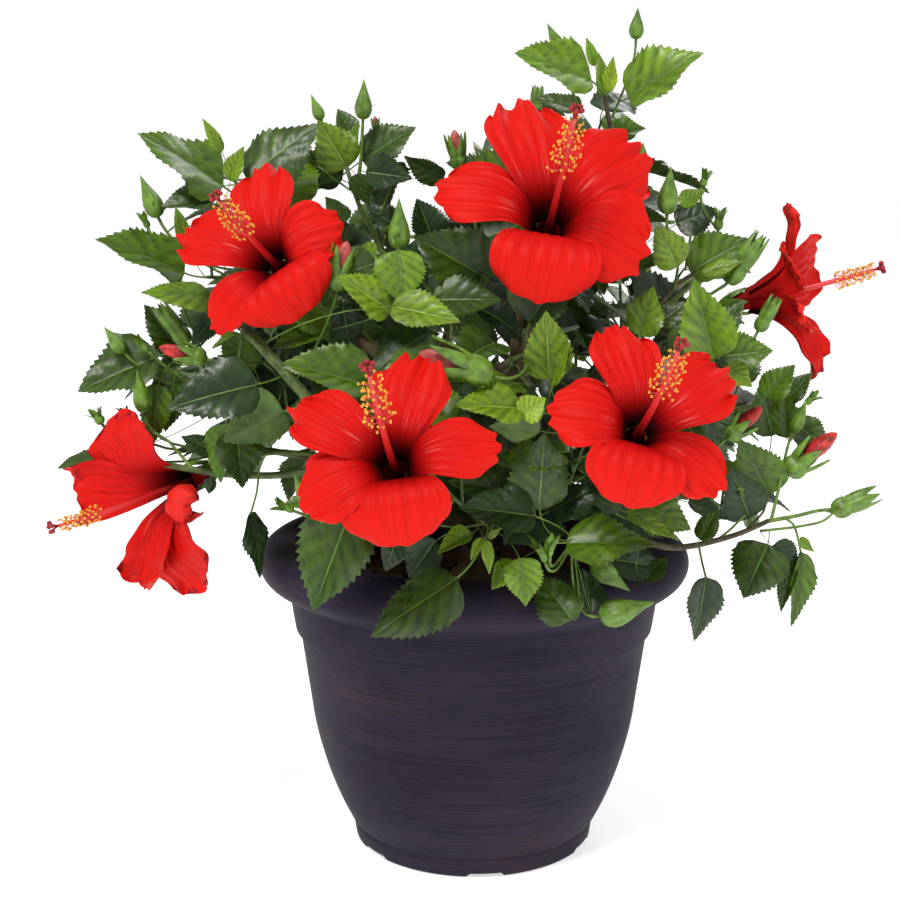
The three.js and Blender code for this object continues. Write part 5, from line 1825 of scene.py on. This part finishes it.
def balled_petal(throat, axis, radius, petal, random):
    """A petal that has curled up into a ball about its tip, with folds round it."""
    centre, wide, *_ = petal
    size = 0.19 * radius * wide
    back = unit(throat - centre)
    out = unit(axis - back * (axis @ back))
    across = cross(out, back)
    s = np.linspace(0, 1, PETAL_ROWS)[:, None]
    v = np.linspace(-1, 1, PETAL_LANES)[None]
    polar, turn = np.pi * (0.03 + 0.85 * s), 2.3 * v
    start = random() * 6
    folds = 1 + 0.07 * np.sin(3.4 * np.pi * v + 2.5 * s + start)
    folds = folds + 0.05 * np.sin(5 * np.pi * s + 2 * v + start)
    folds = folds + 0.16 * s**6 * np.sin(9 * v + start) + 0.2 * np.abs(v) ** 6
    ring = np.sin(polar) * folds
    grid = centre + size * (
        (np.cos(polar) * folds)[..., None] * back
        + (ring * np.cos(turn))[..., None] * out
        + (ring * np.sin(turn))[..., None] * across
    )
    reach = np.broadcast_to(0.4 + 0.6 * s, grid.shape[:2])
    return grid, reach.ravel(), np.broadcast_to(v, grid.shape[:2]).ravel()


def petal_grid(throat, axis, radius, petal, wilt, random):
    """One petal, out from the throat by s and across by v, with pleats and a ruffled rim."""
    tip, wide, ruffle, corner, _, *twist = petal
    if ruffle >= CURLED_UP:
        return balled_petal(throat, axis, radius, petal, random)
    lean = tip - throat
    tip_height = lean @ axis
    out_way = unit(lean - axis * tip_height)
    reach = lean @ out_way
    side_way = cross(axis, out_way)
    s = np.linspace(0, 1, PETAL_ROWS)[:, None] ** 0.9
    v = np.linspace(-1, 1, PETAL_LANES)[None]
    broad = 1 if ruffle < BROAD_RUFFLE else 0
    claw = mix(0.08, 0.03, broad) + mix(0.61, 0.68, broad) * s ** mix(1.15, 0.9, broad)
    width = wide * 0.48 * radius * np.sin(np.pi * claw) ** mix(0.8, 0.6, broad) * (1 - 0.14 * s**10)
    phase = [random.angle() for _ in range(6)]
    scallop = (0.030 * np.sin(3.1 * np.pi * v + phase[0]) + 0.013 * np.sin(5.7 * np.pi * v + phase[1])
               + 0.003 * np.sin(11 * np.pi * v + phase[2]))
    out = reach * (0.1 + 0.9 * s) - radius * (0.16 * s**3 * np.abs(v) ** 2.4 - 0.06 * corner * v * s**4)
    out = out + radius * ruffle * scallop * s**8
    ruffled = 0.050 * np.sin(2.1 * np.pi * v + phase[3]) + 0.034 * np.sin(4.3 * np.pi * v + phase[4])
    pleats = 0.0065 * np.cos(17 * np.pi * v * (1 - 0.15 * s)) + 0.012 * np.cos(7 * np.pi * v + phase[5])
    bowl = -0.46 * (1 - s) ** 6 + 0.07 * np.sin(np.pi * s)
    height = bowl + ruffle * ruffled * s**3 + pleats * np.sin(np.pi * np.clip(s * 1.05, 0, 1)) ** 0.6
    height = height + wilt * (0.14 * v * v * s * s + 0.035 * np.sin(5 * np.pi * s + phase[1]) * s)
    height = height + broad * (1 - wilt) * 0.07 * np.sin(np.pi * s) ** 0.7
    side = v * width * (1 - 0.1 * wilt * s)
    twisted = twist[0] if twist else mix(0.16, 0.04, broad) + 0.2 * wilt
    lift = radius * height + tip_height * s**2 + twisted * side
    grid = (throat + out[..., None] * out_way + (side + 0 * out)[..., None] * side_way
            + lift[..., None] * axis)
    return grid, np.broadcast_to(s, grid.shape[:2]).ravel(), np.broadcast_to(v, grid.shape[:2]).ravel()


def column_line(name, bloom, throat):
    """The column's middle line, from deep in the throat to its tip."""
    axis = bloom_frame(bloom)[3]
    radius = bloom["radius"]
    if name not in SEEN_BLOOMS:
        return lambda t: column_point(bloom, t)
    _, tip_pixel, forward, *_ = SEEN_BLOOMS[name]
    start = throat - axis * (COLUMN_DEPTH * radius)
    tip = photo_place(tip_pixel, throat[1] - forward)
    bend = throat + axis * (0.3 * radius) + (tip - throat) * 0.12
    return lambda t: bowed(start, bend, tip, t)


INSIDE, OUTSIDE, THROAT = range(3)


def make_bloom(name, bloom, stamens, greens, random):
    """A bloom's petals with the tube behind its throat as one piece, and its column, calyx and stalk."""
    axis = bloom_frame(bloom)[3]
    radius = bloom["radius"]
    throat, tips, wilt = petal_tips(name, bloom)
    petals = Shape("reach", "lane", "rim", "wilt", "shine")
    for index, petal in enumerate(tips):
        grid, reach, lane = petal_grid(throat, axis, radius, petal, wilt, random)
        rim = np.maximum(reach**8, np.abs(lane) ** 6 * reach)
        # Each petal's share of painted highlight goes onto its points for the material.
        fields = {"reach": reach, "lane": lane + 3 * index, "rim": rim, "wilt": wilt, "shine": petal[4]}
        add_sheet(petals, grid, THICK["petal"], INSIDE, OUTSIDE, **fields)
    add_turned(petals, throat, axis, scaled(TUBE, radius, radius), 24, OUTSIDE, 0.05, reach=0.05)
    add_turned(petals, throat, axis, scaled(PLUG, radius, radius), 24, THROAT)
    piece = petals.build(name + "_petals", [petal_inner, petal_outer, throat_dark])
    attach(piece, "root")
    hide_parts(name)
    add_column(stamens, column_line(name, bloom, throat), 1 - 0.45 * wilt, random)
    add_bloom_base(greens, name, bloom, throat)


def add_bloom_base(greens, name, bloom, throat):
    """The calyx behind a bloom with its bracts, and its stalk, which follows where the throat has moved."""
    planned_throat, _, _, axis = bloom_frame(bloom)
    radius = bloom["radius"]
    base = throat - axis * (CALYX_DEPTH * radius)
    add_calyx(greens, base, axis, CALYX_SIZE[0] * radius, CALYX_SIZE[1] * radius, 0.2)
    for angle in round_angles(7):
        add_bract(greens, base - axis, axis, angle, 0.24 * radius, 1.3, 0.7)
    line = lines[name]
    moved = throat - planned_throat
    places = np.linspace(0, 1, 26)
    stalk = [line.point(t) + moved * t * t for t in places]
    add_tube(greens, stalk, [line.radius(t) * 0.85 for t in places], 8, STALK)


COLUMN, ANTHER, STIGMA = range(3)


def add_column(stamens, line, spread, random):
    """The column with its anthers, which stand closer where spread is under 1, and its stigmas."""
    places = np.linspace(*COLUMN_ENDS, 28)
    points = np.array([line(t) for t in places])
    reaches = np.repeat(np.concatenate([[0], places, [COLUMN_ENDS[1]]]), 12)
    add_tube(stamens, points, np.interp(places, *COLUMN_RADII), 12, COLUMN, reach=reaches)
    add_anthers(stamens, line, spread, random)
    add_stigmas(stamens, line(COLUMN_ENDS[1]), line(1.0))


def add_anthers(stamens, line, spread, random):
    """Small long balls, each on a thin stalk that leaves the column and bends forward."""
    ball, faces = blob(5, 6)
    lowest = mix(ANTHERS["closed"], ANTHERS["open"], spread)
    stretch = ANTHERS["end"] - lowest
    for k in range(ANTHERS["count"]):
        t = mix(lowest, ANTHERS["end"], (k + random()) / ANTHERS["count"])
        root = line(t)
        tangent = unit(line(t + 0.02) - root)
        out = around(tangent, k * GOLDEN)
        reach = spread * random.between(*ANTHERS["reach"]) * (1 - 0.3 * (t - lowest) / stretch)
        place = root + out * reach + tangent * random.between(0.6, 2.6)
        add_tube(stamens, [root, root + out * (reach * 0.6), place], [0.22, 0.2, 0.18], 4, COLUMN, reach=0.75)
        long_way = unit(tangent + out * random.between(-0.6, 0.6))
        side = unit(cross(long_way, out))
        turned = (ball * ANTHERS["ball"]) @ np.array([long_way, side, cross(long_way, side)])
        stamens.add(place + turned, faces, ANTHER)


def add_stigmas(stamens, neck, tip):
    """Five round pads, on arms that part at the column's end."""
    pad, faces = blob(7, 10)
    tangent = unit(tip - neck)
    for angle in round_angles(STIGMAS["count"]):
        out = around(tangent, angle)
        end = tip + out * STIGMAS["reach"] - tangent * 0.4
        add_tube(stamens, [neck, mix(neck, tip, 0.6) + out * 1.2, end], [0.55, 0.5, 0.45], 6, STIGMA)
        stamens.add(end + pad * STIGMAS["pad"], faces, STIGMA)


def make_blooms(wood):
    stamens, greens = Shape("reach"), Shape()
    random = Draws(451)
    for name, bloom in BLOOMS.items():
        make_bloom(name, bloom, stamens, greens, random)
    for mass in masses:
        for bud in mass.buds:
            kind = BUD_KINDS[int(random() * len(BUD_KINDS))]
            add_bud(greens, {**bud, "kind": kind, "spread": random.between(0.2, 0.8)}, random)
    for bud in seen_buds:
        bud["root"] = nearest_wood(wood, bud["base"], bud["axis"])
        add_bud(greens, bud, random)
    stamen_piece = stamens.build("stamens", [column_red, anther_yellow, stigma_red])
    green_piece = greens.build("buds_and_calyxes", [calyx_green, stalk_green, bud_pink, bud_red])
    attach(stamen_piece, "root")
    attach(green_piece, "root")


# Pot and potting mix

def curve_through(knots, count):
    """Radius and height pairs along a smooth curve through (height, radius) knots."""
    knots = np.array(knots, float)[:, ::-1]
    knots = np.concatenate([[2 * knots[0] - knots[1]], knots, [2 * knots[-1] - knots[-2]]])
    points = []
    for a, b, c, d in zip(knots, knots[1:], knots[2:], knots[3:]):
        for t in np.arange(count) / count:
            points.append(0.5 * (2 * b + (c - a) * t + (2 * a - 5 * b + 4 * c - d) * t**2
                                 + (3 * b - a - 3 * c + d) * t**3))
    return points + [knots[-2]]


def rim_arc(across, turns, count):
    """Radius and height pairs round a part of the rim's roll, between two angles in degrees."""
    (radius, height), tall = POT["rim_centre"], POT["roll"][1]
    return [(radius + across * math.cos(turn), height + tall * math.sin(turn))
            for turn in np.radians(np.linspace(*turns, count))]


def pot_profile():
    """Radius and height pairs, from the middle of the underside out, up, over the rim and down inside."""
    foot = [(radius, height) for height, radius in FOOT]
    rim = rim_arc(POT["roll"][0], POT["roll_turns"], 22) + rim_arc(POT["inner_roll"], POT["inner_turns"], 8)
    wall = [(radius - POT["wall"], height) for height, radius in reversed(BELL[2:])]
    floor = [(POT["foot_radius"] - 4, POT["floor"]), (0, POT["floor"])]
    return foot + curve_through(BELL, 5) + curve_through(COLLAR, 4) + rim + [POT["inner_top"]] + wall + floor


def make_pot():
    profile = np.array(pot_profile(), float)
    turn = round_angles(POT["segments"])
    radius = np.maximum(profile[:, 0], 0.01)[:, None]
    slot_turns = np.radians(POT["slot_turn"] + np.arange(POT["slots"]) * 360 / POT["slots"] - 90)
    off = np.abs((turn[:, None] - slot_turns[None] + np.pi) % FULL_TURN - np.pi).min(1)
    in_slot = off * POT["foot_radius"] < POT["slot_width"] / 2
    in_ring = (profile[:, 0] > POT["ring_inside"]) & (profile[:, 1] < POT["slot_height"])
    height = np.where(in_ring[:, None] & in_slot[None], POT["slot_height"], profile[:, 1:2])
    points = np.stack([radius * np.cos(turn), radius * np.sin(turn), height], -1)
    shape = Shape()
    shape.add(points, grid_faces(len(profile), len(turn), closed=True))
    piece = shape.build("plant_pot", [pot_plastic])
    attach(piece, "root")
    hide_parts("pot")


def soil_level(out):
    """The height of the mix: level round the trunk, and falling from there to the wall."""
    places = [0, SOIL["crown_radius"], SOIL["radius"]]
    return np.interp(out, places, [SOIL["top"], SOIL["top"], SOIL["edge"]])


def add_soil_surface(shape, random):
    """An uneven surface of small waves that run all ways, down along the wall at its edge."""
    radii = np.concatenate([np.linspace(0.5, SOIL["open_radius"], 40), SOIL["wall_radii"]])
    turn = round_angles(120)
    r, a = np.meshgrid(radii, turn, indexing="ij")
    x, y = r * np.cos(a), r * np.sin(a)
    height = soil_level(r)
    for _ in range(SOIL["waves"]):
        angle = random.angle()
        pitch = random.between(0.08, 0.55)
        phase = pitch * (x * math.cos(angle) + y * math.sin(angle)) + random() * 6
        height = height + SOIL["wave_height"] * np.sin(phase)
    height = np.minimum(height, SOIL["top"] - 0.2)
    height[-1] -= SOIL["wall_depth"]
    shape.add(np.stack([x, y, height], -1), grid_faces(len(radii), len(turn), closed=True))


def add_crumbs(shape, random):
    """Lumps of bark and earth, scattered evenly over the surface."""
    ball, faces = blob(5, 7)
    for k in range(SOIL["crumbs"]):
        angle = random.angle()
        out = SOIL["open_radius"] * math.sqrt(random())
        size = random.between(*SOIL["crumb_size"])
        lump = ball * (size * (1 + 0.25 * np.sin(ball[:, :1] * 5 + k)))
        lump = lump * vec(1, random.between(0.5, 1), random.between(0.35, 0.8))
        spin = random() * math.pi
        c, s = math.cos(spin), math.sin(spin)
        turned = lump @ np.array([[c, s, 0], [-s, c, 0], [0, 0, 1]])
        shape.add(turned + vec(out * math.cos(angle), out * math.sin(angle), soil_level(out)), faces)


def make_soil():
    shape = Shape()
    random = Draws(90)
    add_soil_surface(shape, random)
    add_crumbs(shape, random)
    piece = shape.build("soil_surface", [potting_mix])
    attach(piece, "root")
    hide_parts("potting_mix")


# The stage

FLOOR = {"reach": 30000, "height": -0.3, "glow": 0.56}
WORLD_LIGHT, WORLD_SEEN = 0.5, 1.05
LIGHT_AIM = (0, 0, 0.3)

# Each lamp, in metres and watts: where it stands, how wide it is, its power and its colour.
LAMPS = {
    "key": ((-0.8, -1.5, 2.4), 0.7, 52, (1.0, 0.98, 0.93)),
    "fill": ((1.9, -1.6, 1.0), 1.6, 10, (1, 1, 1)),
    "back": ((0.9, 1.9, 2.0), 1.2, 16, (1, 1, 1)),
}


def make_stage():
    material, _, shader = new_material("pale_floor", (0.9, 0.9, 0.9), 0.9, 0.1)
    shader.inputs["Emission Color"].default_value = (1, 1, 1, 1)
    shader.inputs["Emission Strength"].default_value = FLOOR["glow"]
    corners = np.array([(-1, -1, 0), (1, -1, 0), (1, 1, 0), (-1, 1, 0)])
    floor = Shape()
    floor.add(corners * FLOOR["reach"] + UP * FLOOR["height"], [(0, 1, 2, 3)])
    floor.build("pale_floor", [material], rounded=False)


def add_light(name, place, size, power, color):
    light = bpy.data.lights.new(name, "AREA")
    light.shape = "DISK"
    light.size = size
    light.energy = power
    light.color = color
    lamp = bpy.data.objects.new(name, light)
    bpy.context.scene.collection.objects.link(lamp)
    x, y, z = np.subtract(LIGHT_AIM, place)
    lamp.location = place
    lamp.rotation_euler = (math.atan2(math.hypot(x, y), -z), 0, math.atan2(x, -y) + math.pi)


def make_lights():
    """A soft white world, brighter where the camera sees it than in the light it gives, and three lamps."""
    world = bpy.data.worlds.new("soft_white")
    world.use_nodes = True
    tree = world.node_tree
    backdrop = tree.nodes["Background"]
    backdrop.inputs["Color"].default_value = (1, 1, 1, 1)
    seen = node(tree, "ShaderNodeLightPath").outputs["Is Camera Ray"]
    strength = node(tree, "ShaderNodeMapRange")
    strength.inputs["To Min"].default_value = WORLD_LIGHT
    strength.inputs["To Max"].default_value = WORLD_SEEN
    tree.links.new(seen, strength.inputs["Value"])
    tree.links.new(strength.outputs["Result"], backdrop.inputs["Strength"])
    bpy.context.scene.world = world
    for name, lamp in LAMPS.items():
        add_light(name, *lamp)


def make_camera():
    camera = bpy.data.cameras.new("camera")
    camera.sensor_width = CAMERA["sensor"]
    camera.lens = CAMERA["focal_px"] / CAMERA["frame_px"] * CAMERA["sensor"]
    camera.clip_end = 100
    view = bpy.data.objects.new("camera", camera)
    bpy.context.scene.collection.objects.link(view)
    view.location = [x * MM for x in CAMERA["place"]]
    view.rotation_euler = (math.radians(90 - CAMERA["pitch"]), 0, 0)
    bpy.context.scene.camera = view


make_camera()
make_lights()
make_stage()
make_pot()
make_soil()
make_wood()
trim_growth()
make_foliage()
stalk_wood = wood_points()
make_seen_growth(stalk_wood)
make_blooms(stalk_wood)
bpy.context.scene.view_settings.view_transform = "Standard"
